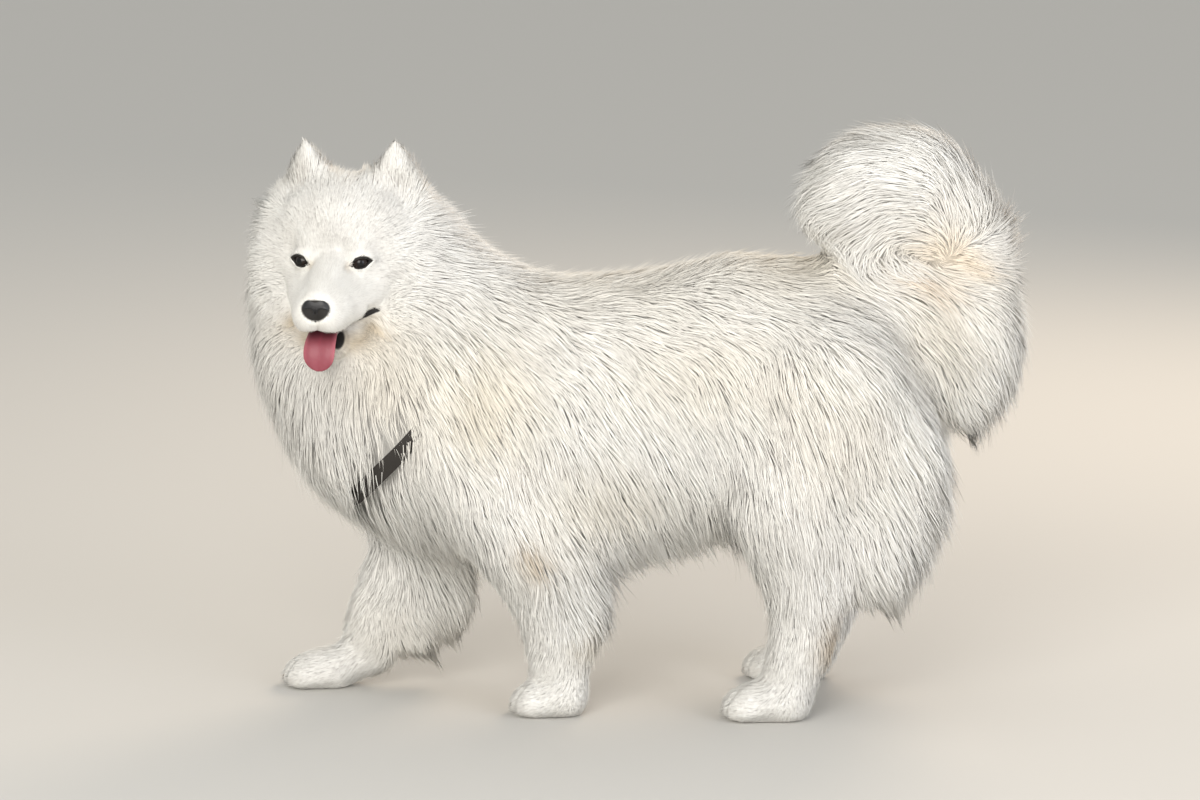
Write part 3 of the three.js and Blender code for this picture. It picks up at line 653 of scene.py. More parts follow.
# %% Guides on the body
# Places are in the model's own frame. True in the last column stands for both sides.
BODY_GUIDES = [
    ((0, -290, 655), (0, 0.85, -0.5), 66, 38, 0.1, 2.0, False),
    ((0, -200, 596), (0, 0.98, -0.2), 60, 34, 0.1, 2.0, False),
    ((0, -50, 576), (0, 1, -0.06), 56, 28, 0.1, 2.0, False),
    ((0, 100, 602), (0, 1, -0.04), 54, 28, 0.1, 2.0, False),
    ((0, 230, 610), (0, 1, -0.1), 56, 30, 0.1, 2.0, False),
    ((130, -250, 520), (0.1, 0.5, -0.86), 84, 44, 0.25, 2.1, True),
    ((110, -330, 540), (0.25, 0.3, -0.92), 86, 46, 0.3, 2.1, True),
    ((20, -445, 480), (0.05, -0.25, -0.97), 88, 44, 0.35, 2.1, True),
    ((20, -440, 380), (0.05, -0.05, -1), 86, 42, 0.3, 2.1, True),
    ((30, -390, 270), (0.05, 0.35, -0.93), 80, 36, 0.4, 2.1, True),
    ((100, -360, 400), (0.15, 0.15, -0.97), 84, 42, 0.25, 2.1, True),
    ((142, -205, 430), (0, 0.5, -0.87), 74, 34, 0.15, 2.1, True),
    ((130, -150, 300), (0, 0.35, -0.94), 60, 26, 0.15, 2.0, True),
    ((150, -30, 430), (0, 0.6, -0.8), 70, 30, 0.12, 2.1, True),
    ((140, -30, 300), (0, 0.42, -0.9), 80, 34, 0.2, 2.1, True),
    ((110, -60, 210), (0, 0.4, -0.9), 80, 34, 0.5, 2.1, True),
    ((110, 70, 235), (0, 0.3, -0.95), 84, 34, 0.55, 2.1, True),
    ((0, 0, 196), (0, 0.6, -0.8), 66, 26, 0.4, 2.0, False),
    ((0, 120, 230), (0, 0.6, -0.8), 66, 26, 0.4, 2.0, False),
    ((150, 120, 420), (0, 0.55, -0.84), 72, 30, 0.15, 2.1, True),
    ((80, 40, 540), (0.2, 0.82, -0.5), 62, 28, 0.1, 2.1, True),
    ((90, 150, 560), (0.2, 0.78, -0.55), 62, 28, 0.1, 2.1, True),
    ((80, -150, 540), (0.2, 0.7, -0.65), 68, 34, 0.15, 2.1, True),
    ((135, 240, 480), (0.05, 0.45, -0.88), 76, 32, 0.15, 2.1, True),
    ((150, 270, 360), (0.05, 0.25, -0.96), 78, 32, 0.2, 2.1, True),
    ((140, 190, 300), (0, 0.25, -0.96), 66, 26, 0.2, 2.0, True),
    ((30, 350, 400), (-0.05, 0.35, -0.93), 88, 40, 0.4, 2.1, True),
    ((90, 385, 330), (0.1, 0.45, -0.88), 96, 44, 0.55, 2.2, True),
    ((90, 345, 215), (0.05, 0.4, -0.92), 84, 36, 0.55, 2.1, True),
    ((60, 350, 520), (0.15, 0.55, -0.8), 76, 34, 0.2, 2.1, True),
    ((98, 235, 160), (0, 0.1, -1), 36, 11, 0.1, 1.7, True),
    ((98, 262, 130), (0, 0.3, -0.95), 38, 12, 0.3, 1.7, True),
    ((98, 215, 80), (0, 0, -1), 24, 8, 0.05, 1.5, True),
    ((73, -170, 160), (0, 0.05, -1), 34, 13, 0.1, 1.7, True),
    ((73, -105, 85), (0, 0, -1), 26, 9, 0.05, 1.5, True),
    ((73, -60, 200), (0, 0.55, -0.84), 74, 26, 0.6, 1.9, True),
    ((-77, -260, 170), (0, 0.35, -0.93), 70, 24, 0.6, 1.9, False),
    ((-77, -345, 130), (0, -0.35, -0.93), 32, 12, 0.1, 1.7, False),
    ((-77, -330, 75), (0, 0, -1), 28, 9, 0.2, 1.5, False),
    ((-77, -300, 75), (0, 0.5, -0.86), 56, 18, 0.6, 1.8, False),
    ((-77, -440, 30), (0, -0.95, -0.3), 15, 5, 0.2, 1.4, False),
    ((-77, -380, 45), (0, -0.8, -0.55), 22, 7, 0.1, 1.5, False),
    ((73, -130, 30), (0, -0.95, -0.3), 15, 5, 0.2, 1.4, False),
    ((73, -90, 45), (0, -0.6, -0.8), 22, 7, 0.1, 1.5, False),
    ((73, -55, 25), (0, 0.1, -1), 18, 6, 0.2, 1.5, False),
    ((98, 150, 30), (0, -0.95, -0.3), 15, 5, 0.2, 1.4, False),
    ((98, 190, 45), (0, -0.6, -0.8), 22, 7, 0.1, 1.5, False),
    ((98, 235, 25), (0, 0.1, -1), 18, 6, 0.2, 1.5, False),
    ((-118, 185, 30), (0, -0.95, -0.3), 15, 5, 0.2, 1.4, False),
    ((-118, 225, 45), (0, -0.6, -0.8), 22, 7, 0.1, 1.5, False),
    ((-118, 270, 25), (0, 0.1, -1), 18, 6, 0.2, 1.5, False),
    ((-118, 255, 80), (0, 0, -1), 24, 8, 0.05, 1.5, False),
    ((0, 345, 575), (0, 0.75, 0.6), 70, 24, 0.2, 2.0, False),
    ((75, 420, 650), (0.1, -0.3, 0.85), 90, 30, 0.2, 2.1, True),
    ((75, 370, 660), (0.1, -0.85, 0.1), 90, 30, 0.2, 2.1, True),
    ((75, 320, 650), (0.1, -0.8, -0.55), 85, 28, 0.2, 2.1, True),
    ((0, 515, 560), (0, 0.7, -0.6), 105, 36, 0.35, 2.1, False),
    ((0, 508, 625), (0, 0.75, 0.45), 100, 36, 0.35, 2.1, False),
    ((0, 480, 710), (0, -0.35, 0.92), 95, 34, 0.35, 2.1, False),
    ((0, 420, 765), (0, -0.85, 0.52), 90, 34, 0.3, 2.1, False),
    ((0, 330, 765), (0, -0.98, 0.2), 85, 32, 0.3, 2.1, False),
    ((0, 255, 715), (0, -0.95, -0.2), 80, 30, 0.35, 2.1, False),
    ((0, 260, 655), (0, -0.8, -0.6), 80, 30, 0.3, 2.1, False),
    ((0, 330, 630), (0, -0.5, -0.6), 70, 24, 0.4, 2.0, False),
    ((75, 380, 618), (0.1, -0.75, 0.25), 80, 26, 0.2, 2.0, True),
    ((60, 345, 590), (0.1, 0.8, -0.3), 80, 24, 0.2, 2.0, True),
    ((50, 385, 560), (0.1, 0.85, -0.45), 95, 30, 0.2, 2.1, True),
    ((50, 450, 590), (0.1, 0.8, -0.2), 100, 32, 0.3, 2.1, True),
    ((50, 430, 690), (0.1, -0.5, 0.75), 95, 32, 0.3, 2.1, True),
    ((50, 350, 700), (0.1, -0.95, 0.1), 90, 30, 0.3, 2.1, True),
    ((50, 290, 690), (0.1, -0.85, -0.5), 85, 28, 0.4, 2.1, True),
    ((50, 450, 500), (0.1, 0.45, -0.88), 105, 34, 0.4, 2.1, True),
    ((30, 440, 400), (0, 0.35, -0.93), 62, 26, 0.7, 2.1, True),
    ((0, 455, 350), (0, 0.35, -0.93), 42, 18, 0.8, 2.0, False),
]
print("guides on the body:", len(BODY_GUIDES))

# %% [markdown]
# ## Blend the guides
# Every point of the skin takes a blend of all guides, in which the nearest ones count most. A guide
# with close neighbours reaches less far than one that stands alone.


# %% Lie of the coat at any point
NEARNESS_POWER = 5
AT_ONCE = 20000


def all_guides():
    """Every guide as arrays in the model's frame: places and directions in m, and sizes in mm."""
    places, ways, sizes = [], [], []
    for place, way, *size in HEAD_GUIDES:
        for side in (1, -1) if place[1] else (1,):
            places.append(from_head([(place[0], side * place[1], place[2])])[0])
            ways.append(np.array((way[0], side * way[1], way[2])) @ head_axes)
            sizes.append(size)
    for place, way, *size, mirrored in BODY_GUIDES:
        for side in (1, -1) if mirrored else (1,):
            places.append(np.array((side * place[0], place[1], place[2])) * MM)
            ways.append(np.array((side * way[0], way[1], way[2]), float))
            sizes.append(size)
    ways = np.array(ways)
    return np.array(places), ways / np.linalg.norm(ways, axis=1)[:, None], np.array(sizes, float)


guide_places, guide_ways, guide_sizes = all_guides()
between = np.linalg.norm(guide_places[:, None] - guide_places[None], axis=2)
guide_reach = np.sqrt(np.sort(between, axis=1)[:, 1:4].mean(1))


def lie_of_coat(points):
    """Blends the guides for each point: unit directions, and sizes in m (free stays a share)."""
    ways = np.empty_like(points)
    sizes = np.empty((len(points), 4))
    for start in range(0, len(points), AT_ONCE):
        part = slice(start, start + AT_ONCE)
        apart = np.linalg.norm(points[part, None] - guide_places[None], axis=2)
        near = 1 / (apart / guide_reach[None] + 0.02) ** NEARNESS_POWER
        near /= near.sum(1)[:, None]
        ways[part] = near @ guide_ways
        sizes[part] = near @ guide_sizes
    ways /= np.maximum(np.linalg.norm(ways, axis=1), 1e-6)[:, None]
    return ways, sizes[:, 0] * MM, sizes[:, 1] * MM, sizes[:, 2], sizes[:, 3] * MM


print("guides on both sides:", len(guide_places))

# %% [markdown]
# ## Grooves between the toes
# A foot of a dog is four toes under one coat. Shallow grooves run back between them, from the middle
# between two claws, and fade towards the leg.


# %% Groove the feet
TOE_GROOVE = 3.5 * MM
TOE_REACH = 42 * MM
FOOT_TOP = 0.06


def between_toes(points):
    """Depth in m of the grooves that run back between neighbouring toes."""
    depth = np.zeros(len(points))
    for foot in ("foreleg_left", "foreleg_right", "hindleg_left", "hindleg_right"):
        claws_of_foot = [frame["nodes"][f"claw_{foot}_{k}"] for k in range(1, 5)]
        tips = [points_of(claw).mean(0)[:2] for claw in claws_of_foot]
        for one, other in zip(tips, tips[1:]):
            start = (one + other) / 2
            along = np.array((other[1] - one[1], one[0] - other[0]))
            along /= np.linalg.norm(along)
            along = along if along[1] > 0 else -along
            away = points[:, :2] - start
            back, side = away @ along, away @ (-along[1], along[0])
            share = step_between(-25 * MM, -5 * MM, back) * step_between(TOE_REACH, TOE_REACH * 0.3, back)
            share *= step_between(0.055, 0.040, points[:, 2])
            depth = np.maximum(depth, TOE_GROOVE * share * np.exp(-((side / (2.2 * MM)) ** 2)))
    return depth


foot_part = points_of(skin)[:, 2] < FOOT_TOP
refine(skin, foot_part)
outline = points_of(skin)
outline = outline - normals_of(skin) * between_toes(outline)[:, None]
write_points(skin, outline)
outline_normals = normals_of(skin)
print("points after the feet were refined:", len(outline))

# %% [markdown]
# ## Sink the skin under the coat
# The outline mesh marks the ends of the hair. The skin lies under it by a share of the coat's depth at
# each point, and hardly at all beside the bare nose, lips and eyes. The soles are bare, and the lowest
# few millimetres are stretched down to the floor.

# %% Skin under the outline
NOSE_MIDDLE = (155, 0, -61)
SOLE_HEIGHT = 0.006
SUNK = 0.68

depth = lie_of_coat(outline)[2]
places = in_head(outline)
wedge = mouth_wedge(places)
inside_mouth = (wedge < 1.0) & (whole_face(places) < -1.5) & (face_share(places) > 0.5)
off_nose = np.linalg.norm((places - NOSE_MIDDLE) * (1, 0.9, 1.1), axis=1) - 19
bare = np.minimum(near_eyes(places) - 15, off_nose)
bare = np.where(face_share(places) > 0.3, np.minimum(bare, wedge), bare)
bare = np.maximum(bare, 0)
depth = np.minimum(depth, (0.6 + 0.4 * bare) * MM)
depth[inside_mouth] = 0
soles = (outline[:, 2] < SOLE_HEIGHT) & (outline_normals[:, 2] < -0.3)
depth[soles] = 0
pairs = edges_of(skin.data)
count = np.bincount(pairs.ravel(), minlength=len(outline)).astype(float)
for _ in range(4):
    depth = np.minimum(depth, neighbour_mean(depth[:, None], pairs, count)[:, 0] * 1.02 + 1e-5)
under = outline - outline_normals * depth[:, None] * SUNK
body_share = step_between(0.004, 0.012, depth)
under = relaxed(under, pairs, 10, body_share, shrink=True)
for shell in (outline, under):
    lowest = shell[:, 2].min()
    flattened = (shell[:, 2] - lowest) * SOLE_HEIGHT / (SOLE_HEIGHT - lowest)
    shell[:, 2] = np.where(shell[:, 2] < SOLE_HEIGHT, flattened, shell[:, 2])
write_points(skin, under)
print("coat depth in mm:", (depth / MM).min().round(1), "to", (depth / MM).max().round(1))

# %% [markdown]
# ## The eyes' own directions
# A samoyed's eye is a dark almond with black rims, its outer corner higher than the inner one. The
# opening is where two discs overlap, one for each lid. It is drawn across the eyeball's own line of
# sight, so that both eyes come from one drawing.


# %% Opening between the lids
EYE_RADIUS = 12.5
LID_THICKNESS = 1.4
EYE_HALF_WIDTH = 12.6
UPPER_LID, LOWER_LID = 6.2, 5.0
EYE_TILT = math.radians(13)


def eye_directions(side):
    """Unit directions of one eye in head sizes: where it looks, to its outer corner, and up."""
    sign = 1 if side == "left" else -1
    look = np.array((0.9, 0.36 * sign, 0.12))
    look /= np.linalg.norm(look)
    out = np.array((0, sign, 0)) - look * (look[1] * sign)
    out /= np.linalg.norm(out)
    up = np.cross(look, out) * sign
    outer = out * math.cos(EYE_TILT) + up * math.sin(EYE_TILT)
    return look, outer, up * math.cos(EYE_TILT) - out * math.sin(EYE_TILT)


def almond(across, up):
    """Distance in mm to the opening between the lids, negative inside: where two discs overlap."""
    distance = []
    for height, sign in ((UPPER_LID, 1), (LOWER_LID, -1)):
        radius = (EYE_HALF_WIDTH**2 + height**2) / (2 * height)
        distance.append(np.hypot(across, up - sign * (height - radius)) - radius)
    return np.maximum(*distance)


def by_eye(places, side):
    """Distances from the eyeball's middle along its own directions, and from the lids' opening."""
    look, out, up = eye_directions(side)
    away = places - EYE_PLACES[side]
    front, across, high = away @ look, away @ out, away @ up
    gap = almond(across, high)
    gap[front < -4] = 99
    return look, front, across, high, gap


# %% [markdown]
# ## Eyelids
# The eyeball stays a ball. The skin in front of it is pulled over the ball as two lids, and the skin
# inside the opening is pushed back out of sight. Cutting the opening out instead would leave a hole in
# the skin.


# %% Shape the lids over the eyeballs
LID_HAIR = 1.2


def shape_lids(places, rise):
    """Moves places along each eye's look, with rise mm of hair on the lids."""
    for side in EYE_PLACES:
        look, front, across, high, gap = by_eye(places, side)
        near = (gap < 13) & (np.hypot(across, high) < 27)
        reach = np.minimum(np.hypot(across, high), 0.82 * EYE_RADIUS)
        ball = np.sqrt(EYE_RADIUS**2 - reach**2)
        lid = ball + LID_THICKNESS + rise * step_between(1.5, 5, gap)
        # The upper lid folds over the ball's edge a little above the opening.
        lid = lid + 0.9 * np.exp(-(((gap - 2.6) / 1.3) ** 2)) * (high > 0)
        opened = step_between(-1.0, 0.2, gap)
        wanted = np.where(gap < 0.2, (ball - 2.5) * (1 - opened) + lid * opened, lid)
        share = step_between(13, 2.5, gap) * near
        places = places + (share * (wanted - front))[:, None] * look
    return places


under_places = shape_lids(in_head(under), 0.0)
outline_places = in_head(outline)
lid_gap = np.minimum(*[by_eye(under_places, side)[4] for side in EYE_PLACES])
by_lids = step_between(14, 4, lid_gap)[:, None]
shaped = shape_lids(outline_places, LID_HAIR)
outline_places = shaped * by_lids + outline_places * (1 - by_lids)
under = from_head(under_places)
outline = from_head(outline_places)
write_points(skin, under)
print("points on the lids:", int((lid_gap < 6).sum()))

# %% [markdown]
# ## Markings and painted light
# The coat is white with cream on the shoulders, the flanks, the croup and behind the ears, and a few
# brownish stains where the hair rubs, at the near elbow and hock. Lips, lids and the edges of the
# nose are black skin, and the ears are pink inside. Two warm orange patches at the root of the tail
# are painted light of the evening sun shining through the hair. Each is a soft patch at a place on the
# dog, and skin and hair take the same colour from the same patches.

# %% Colours of the hair by place
WHITE_HAIR = linear("f4f2ec")
CREAM_HAIR = linear("e9dcc0")
STAINED_HAIR = linear("b3976c")
MOUTH_HAIR = linear("cdbb9c")
BLACK_SKIN_AND_SHADE = linear("17130f")
MOUTH_SKIN = linear("4a2426")
PINK_SKIN = linear("d9aba0")
# Place and radii in mm in the model's frame, colour and strength
PATCHES = [
    ((140, -215, 470), (60, 70, 90), CREAM_HAIR, 0.55),
    ((140, 60, 500), (60, 150, 60), CREAM_HAIR, 0.35),
    ((140, -60, 320), (50, 90, 60), CREAM_HAIR, 0.3),
    ((140, 250, 420), (60, 80, 90), CREAM_HAIR, 0.3),
    ((0, 190, 600), (90, 110, 50), CREAM_HAIR, 0.45),
    ((0, 360, 520), (70, 60, 60), CREAM_HAIR, 0.5),
    ((0, 420, 600), (50, 70, 60), linear("efd9b4"), 0.5),
    # Painted light: warm orange where the evening sun shines through thin hair at the tail's root
    ((70, 345, 588), (40, 34, 14), linear("f2c48c"), 0.45),
    ((70, 415, 606), (34, 28, 18), linear("f2d3a4"), 0.5),
    ((60, -330, 480), (90, 60, 60), CREAM_HAIR, 0.55),
    ((0, -60, 560), (90, 170, 40), CREAM_HAIR, 0.3),
    ((140, -146, 250), (40, 24, 28), STAINED_HAIR, 0.6),
    ((110, 262, 120), (40, 24, 34), STAINED_HAIR, 0.6),
    ((80, -60, 130), (40, 26, 40), CREAM_HAIR, 0.5),
    ((-80, -330, 100), (40, 40, 50), CREAM_HAIR, 0.4),
]
HEAD_PATCHES = [
    ((70, 50, -104), (26, 16, 12), MOUTH_HAIR, 0.85),
    ((100, 30, -120), (34, 26, 14), MOUTH_HAIR, 0.75),
    ((40, 62, -120), (34, 30, 22), MOUTH_HAIR, 0.4),
    ((-40, 62, 50), (22, 26, 30), CREAM_HAIR, 0.35),
    ((88, 26, -26), (9, 8, 6), MOUTH_HAIR, 0.45),
]


def soft_patch(points, place, radii):
    return np.exp(-(((points - place) / radii) ** 2).sum(1))


def paint(colour, share, hair):
    """The colours, mixed with hair by share."""
    return colour * (1 - share[:, None]) + share[:, None] * np.array(hair[:3])


def hair_colour(points):
    """Linear colour of the hair rooted at these points, given in m."""
    colour = np.tile(np.array(WHITE_HAIR[:3]), (len(points), 1))
    as_measured = points / MM
    both_sides = as_measured.copy()
    both_sides[:, 0] = np.abs(both_sides[:, 0])
    for place, radii, hair, strength in PATCHES:
        # Cream far out on the near side is also on the far side, and stains are not
        mirrored = place[0] > 100 and hair is not STAINED_HAIR
        share = strength * soft_patch(both_sides if mirrored else as_measured, place, radii)
        colour = paint(colour, share, hair)
    places = left_side(in_head(points))
    for place, radii, hair, strength in HEAD_PATCHES:
        colour = paint(colour, strength * soft_patch(places, place, radii), hair)
    return colour


print("patches of colour:", len(PATCHES) + len(HEAD_PATCHES))

# %% [markdown]
# ## Bare skin
# The skin takes the hair's colour, a little darker, as it lies in the hair's shade. Lips, lids, the
# edge of the nose and the groove under it are black, and the hollows of the ears are pink. The skin
# darkens towards the nose and the lids, or a white ring would stand round them.


# %% Colours of the skin
SKIN_SHADE = 0.78
EDGE_SHADE = 0.35


def ear_hollow(places):
    """1 in the bare hollow of each ear, which faces forward and out."""
    share = np.zeros(len(places))
    for sign in (1, -1):
        away = places * (1, sign, 1) - (-8, 58, 74)
        hollow = np.exp(-((away[:, 1] / 11) ** 2) - ((away[:, 2] / 24) ** 2))
        share = np.maximum(share, hollow * (away[:, 0] > -12))
    return share


skin_places = in_head(under)
on_face = face_share(skin_places)
skin_colour = hair_colour(under) * SKIN_SHADE
skin_colour = paint(skin_colour, ear_hollow(skin_places) * 0.5, PINK_SKIN)
to_mouth = mouth_wedge(skin_places)
by_nose = np.linalg.norm((skin_places - NOSE_MIDDLE) * (1, 0.85, 1.1), axis=1)
under_corner = MOUTH_CORNER[1] - 3 - 0.3 * (skin_places[:, 0] - MOUTH_CORNER[0])
lower_side = skin_places[:, 2] < under_corner
lip_width = np.where(lower_side, 4.5, 3.0) * (0.2 + 0.8 * step_between(68, 92, skin_places[:, 0]))
lips = step_between(0.1, 0.3, on_face) * step_between(1.0, 0, to_mouth - lip_width)
lips *= skin_places[:, 0] > MOUTH_CORNER[0] - 5
shaded = np.maximum(step_between(26, 18, by_nose) * on_face, step_between(9, 4, lid_gap))
skin_colour = skin_colour * (1 - EDGE_SHADE * shaded)[:, None]
skin_colour = paint(skin_colour, lips, BLACK_SKIN_AND_SHADE)
print("points on the lips:", int((lips > 0.5).sum()))

# %% [markdown]
# ## Inside of the mouth
# In the photo the mouth is dark beside the tongue, down to the chin's edge. Within the wedge the skin
# is black, partly as black lips and partly as painted shade inside the open mouth. Close to the
# tongue's solid it is painted black as shade, and further in it turns to a dark red.

# %% Colours of the mouth, the lids and the nose's edge
outer_places = in_head(outline)
# Black within the wedge: black skin of the lips, and painted shade inside the open mouth
within = step_between(-1.2, -2.6, whole_face(outer_places)) * (mouth_wedge(outer_places) < 7)
within *= step_between(0.2, 0.4, face_share(outer_places)) * (outer_places[:, 0] > MOUTH_CORNER[0] - 2)
skin_colour = paint(skin_colour, within, BLACK_SKIN_AND_SHADE)
lining = step_between(-6, -12, whole_face(outer_places)) * within

tongue_tree = tree_of(frame["nodes"]["tongue"])
near_chin = (outer_places[:, 0] > 60) & (np.abs(outer_places[:, 1]) < 50)
near_chin &= np.abs(outer_places[:, 2] + 115) < 35
chin_points = np.flatnonzero(near_chin)
to_tongue = np.full(len(outline), 1.0)
to_tongue[chin_points] = [tongue_tree.find_nearest(point)[3] for point in outline[chin_points].tolist()]
# Painted shade: black close to the tongue and at the chin's side, where the open mouth is in shade
shade_beside_tongue = step_between(0.0085, 0.0065, to_tongue) * (outer_places[:, 2] < -88)
chin_side_shade = soft_patch(left_side(outer_places), (118, 15, -113), (24, 9, 16))
shade_beside_tongue = np.maximum(shade_beside_tongue, step_between(0.3, 0.5, chin_side_shade))
within = np.maximum(within, shade_beside_tongue)
skin_colour = paint(skin_colour, shade_beside_tongue, BLACK_SKIN_AND_SHADE)
skin_colour = paint(skin_colour, lining, MOUTH_SKIN)
rims = step_between(4.2, 2.4, lid_gap) * (on_face > 0.2)
skin_colour = paint(skin_colour, rims, BLACK_SKIN_AND_SHADE)
skin_colour = paint(skin_colour, step_between(17.6, 16.6, by_nose) * on_face, BLACK_SKIN_AND_SHADE)
philtrum = step_between(2.0, 1.2, np.abs(skin_places[:, 1])) * step_between(-72, -75, skin_places[:, 2])
philtrum = philtrum * step_between(146, 150, skin_places[:, 0])
skin_colour = paint(skin_colour, philtrum * on_face, BLACK_SKIN_AND_SHADE)
print("points inside the mouth:", int((within > 0.5).sum()))

# %% [markdown]
# ## Material of the skin
# Where the coat is short, as on the face and the feet, the skin shows between the tufts. It stands for
# the finest hair there, so a bump of small grains roughens it.


# %% Skin material
def write_colour(mesh, name, colour):
    """Keeps a linear colour for each point in the mesh."""
    attribute = mesh.color_attributes.new(name, "FLOAT_COLOR", "POINT")
    with_alpha = np.column_stack([colour, np.ones(len(colour))]).astype(np.float32)
    attribute.data.foreach_set("color", with_alpha.ravel())


# Kept colours: markings, painted shade under the hair and in the mouth, and painted light at the tail
write_colour(skin.data, "markings_and_painted_light", skin_colour)
# Grown skin under lying hair: the hair's ends scatter the light, so it is matt
skin_material, shader = new_material("skin and short hair", Roughness=0.7)
marks_and_painted_light = add_node(skin_material, "ShaderNodeAttribute", {"attribute_name": "markings_and_painted_light"})
connect(skin_material, marks_and_painted_light.outputs["Color"], shader, "Base Color")
place = add_node(skin_material, "ShaderNodeTexCoord").outputs["Object"]
# Grains about 1.1 mm wide, stretched four times along the body, coarser than real hair so they show
stretch = {"Scale": (1.0, 0.25, 0.6)}
stretched = add_node(skin_material, "ShaderNodeMapping", stretch, {"Vector": place}).outputs["Vector"]
fine = {"Scale": 900.0, "Detail": 2.0}
grain = add_node(skin_material, "ShaderNodeTexNoise", fine, {"Vector": stretched}).outputs["Fac"]
low_bump = {"Strength": 0.35, "Distance": 0.001}
bump = add_node(skin_material, "ShaderNodeBump", low_bump, {"Height": grain})
connect(skin_material, bump.outputs["Normal"], shader, "Normal")
skin.data.materials.clear()
skin.data.materials.append(skin_material)
skin.data.shade_smooth()
print("skin colours:", len(skin_colour))

# %% [markdown]
# ## Wet eye
# A dark brown iris fills nearly all that the lids leave open, with a black pupil, under a clear wet
# cornea. The colours are rings around the eye's own axis. A number kept at each point says how far it
# is from the pupil's middle, so that the rings turn with the eye.

# %% Eye material
# Living tissue under a film of tears: the film is smooth and gives a small sharp highlight
eye_material, shader = new_material(
    "wet eye", Roughness=0.25, Specular_IOR_Level=0.2, Coat_Weight=0.35, Coat_Roughness=0.03
)
rings_of_iris = add_node(eye_material, "ShaderNodeAttribute", {"attribute_name": "from_pupil"})
iris = add_node(eye_material, "ShaderNodeValToRGB", None, {"Fac": rings_of_iris.outputs["Fac"]})
stops = iris.color_ramp.elements
stops[0].position, stops[0].color = 0.0, linear("060505")
stops[1].position, stops[1].color = 0.30, linear("060505")
# Iris from its inner to its outer edge, a dark ring round it, and the rest of the ball, in shade
iris_tones = ((0.34, "140b06"), (0.52, "20120a"), (0.66, "090504"), (0.72, "140e0b"), (1.0, "1f1814"))
for position, colour in iris_tones:
    stop = stops.new(position)
    stop.color = linear(colour)
connect(eye_material, iris.outputs["Color"], shader, "Base Color")
print("rings of the iris:", len(stops))

# %% [markdown]
# ## Eyeballs
# Each eyeball starts as a sphere of radius 1, whose pole is turned to look forward. The cornea bulges
# half a millimetre in the middle, and the bulge fades out about 8 mm from it.


# %% Eyeballs
BALL_SINK = 0.2
CORNEA_BULGE = 0.5
RING_REACH = 14


def ball(name, segments, rings):
    """A sphere of radius 1 at the origin."""
    bpy.ops.mesh.primitive_uv_sphere_add(segments=segments, ring_count=rings, radius=1, location=(0, 0, 0))
    made = bpy.context.active_object
    made.name = name
    made.data.name = name
    return made


eyes = []
for side in EYE_PLACES:
    look, out, up = eye_directions(side)
    eye = ball(f"eyeball_{side}", 64, 40)
    unit = points_of(eye)
    angle = np.arccos(np.clip(unit[:, 2], -1, 1))
    radius = EYE_RADIUS - BALL_SINK + CORNEA_BULGE * step_between(0.62, 0.3, angle)
    axes = np.stack([out, np.cross(look, out), look])
    write_points(eye, from_head(EYE_PLACES[side] + (unit * radius[:, None]) @ axes))
    ring = eye.data.attributes.new("from_pupil", "FLOAT", "POINT")
    ring.data.foreach_set("value", (angle * EYE_RADIUS / RING_REACH).astype(np.float32))
    eye.data.materials.append(eye_material)
    eye.data.shade_smooth()
    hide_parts(f"eye_{side}")
    eyes.append(eye)
print("eyeballs:", [len(eye.data.vertices) for eye in eyes])

# %% [markdown]
# ## Nose
# The nose is a pad of black, pebbled, wet leather: broad and rounded above, narrower below, with two
# nostrils that open forward and end in a slit at the side, and a groove down the middle. A ball is
# pushed into that shape, because all of it is one soft form.

# %% Shape of the nose
nose = ball("nose_leather", 160, 110)
unit = points_of(nose)
ahead, left, high = unit[:, 2].copy(), unit[:, 0].copy(), unit[:, 1].copy()
side = np.abs(left)
shape = np.column_stack([ahead * 15, left * 20.5, high * 15.5])
shape[:, 1] *= 0.86 + 0.16 * step_between(-0.7, 0.35, high)
shape[:, 0] -= 3.2 * step_between(0.1, -0.9, high) * step_between(0, 0.6, ahead)
shape[:, 0] = np.where(shape[:, 0] > 9, 9 + (shape[:, 0] - 9) * 0.55, shape[:, 0])
shape[:, 2] += 1.6 * np.exp(-(((side - 0.5) / 0.3) ** 2)) * (high > 0)
front = step_between(0.15, 0.5, ahead)


def pit(across, up, reach_across, reach_up):
    aside = (np.abs(shape[:, 1]) - across) / reach_across
    return np.exp(-(aside**2) - ((shape[:, 2] - up) / reach_up) ** 2)


nostril = 7.5 * pit(8.6, -2.2, 3.6, 3.3) * front
slit = 3.0 * pit(14.2, -5.6, 4.2, 1.5) * step_between(-0.25, 0.3, ahead)
wing = 1.4 * pit(11.5, 2.0, 5.0, 2.2) * front
wing = wing + 1.0 * pit(15.5, -1.0, 2.5, 3.5) * step_between(0, 0.4, ahead)
groove = 1.8 * np.exp(-((shape[:, 1] / 1.1) ** 2)) * step_between(3, -3, shape[:, 2]) * front
inward = shape / np.maximum(np.linalg.norm(shape, axis=1), 1e-6)[:, None]
shape = shape - inward * (nostril * 0.4 + slit + groove - wing)[:, None]
shape[:, 0] -= nostril
write_points(nose, from_head(np.array((152.5, 0, -60.5)) + shape))
# Share of painted shade in the nostrils, the slits and the groove
hollow = nose.data.attributes.new("hollow", "FLOAT", "POINT")
hollow.data.foreach_set("value", np.clip(nostril / 5 + slit / 2 + groove / 2, 0, 1).astype(np.float32))
print("nose in mm:", np.round(np.ptp(shape, axis=0), 1))

# %% [markdown]
# ## Leather of the nose
# The skin of the nose has no hair. It is horny and pebbled, black, and kept moist. Painted shade
# makes it darkest down in the nostrils, the slits and the groove. The pebbles are the cells of a
# Voronoi texture.

# %% Nose leather
# Horny skin, grown in pebbles and licked wet: satin, with a soft highlight on the film of water
nose_material, shader = new_material(
    "black nose leather", Roughness=0.42, Coat_Weight=0.15, Coat_Roughness=0.3
)
place = add_node(nose_material, "ShaderNodeTexCoord").outputs["Object"]
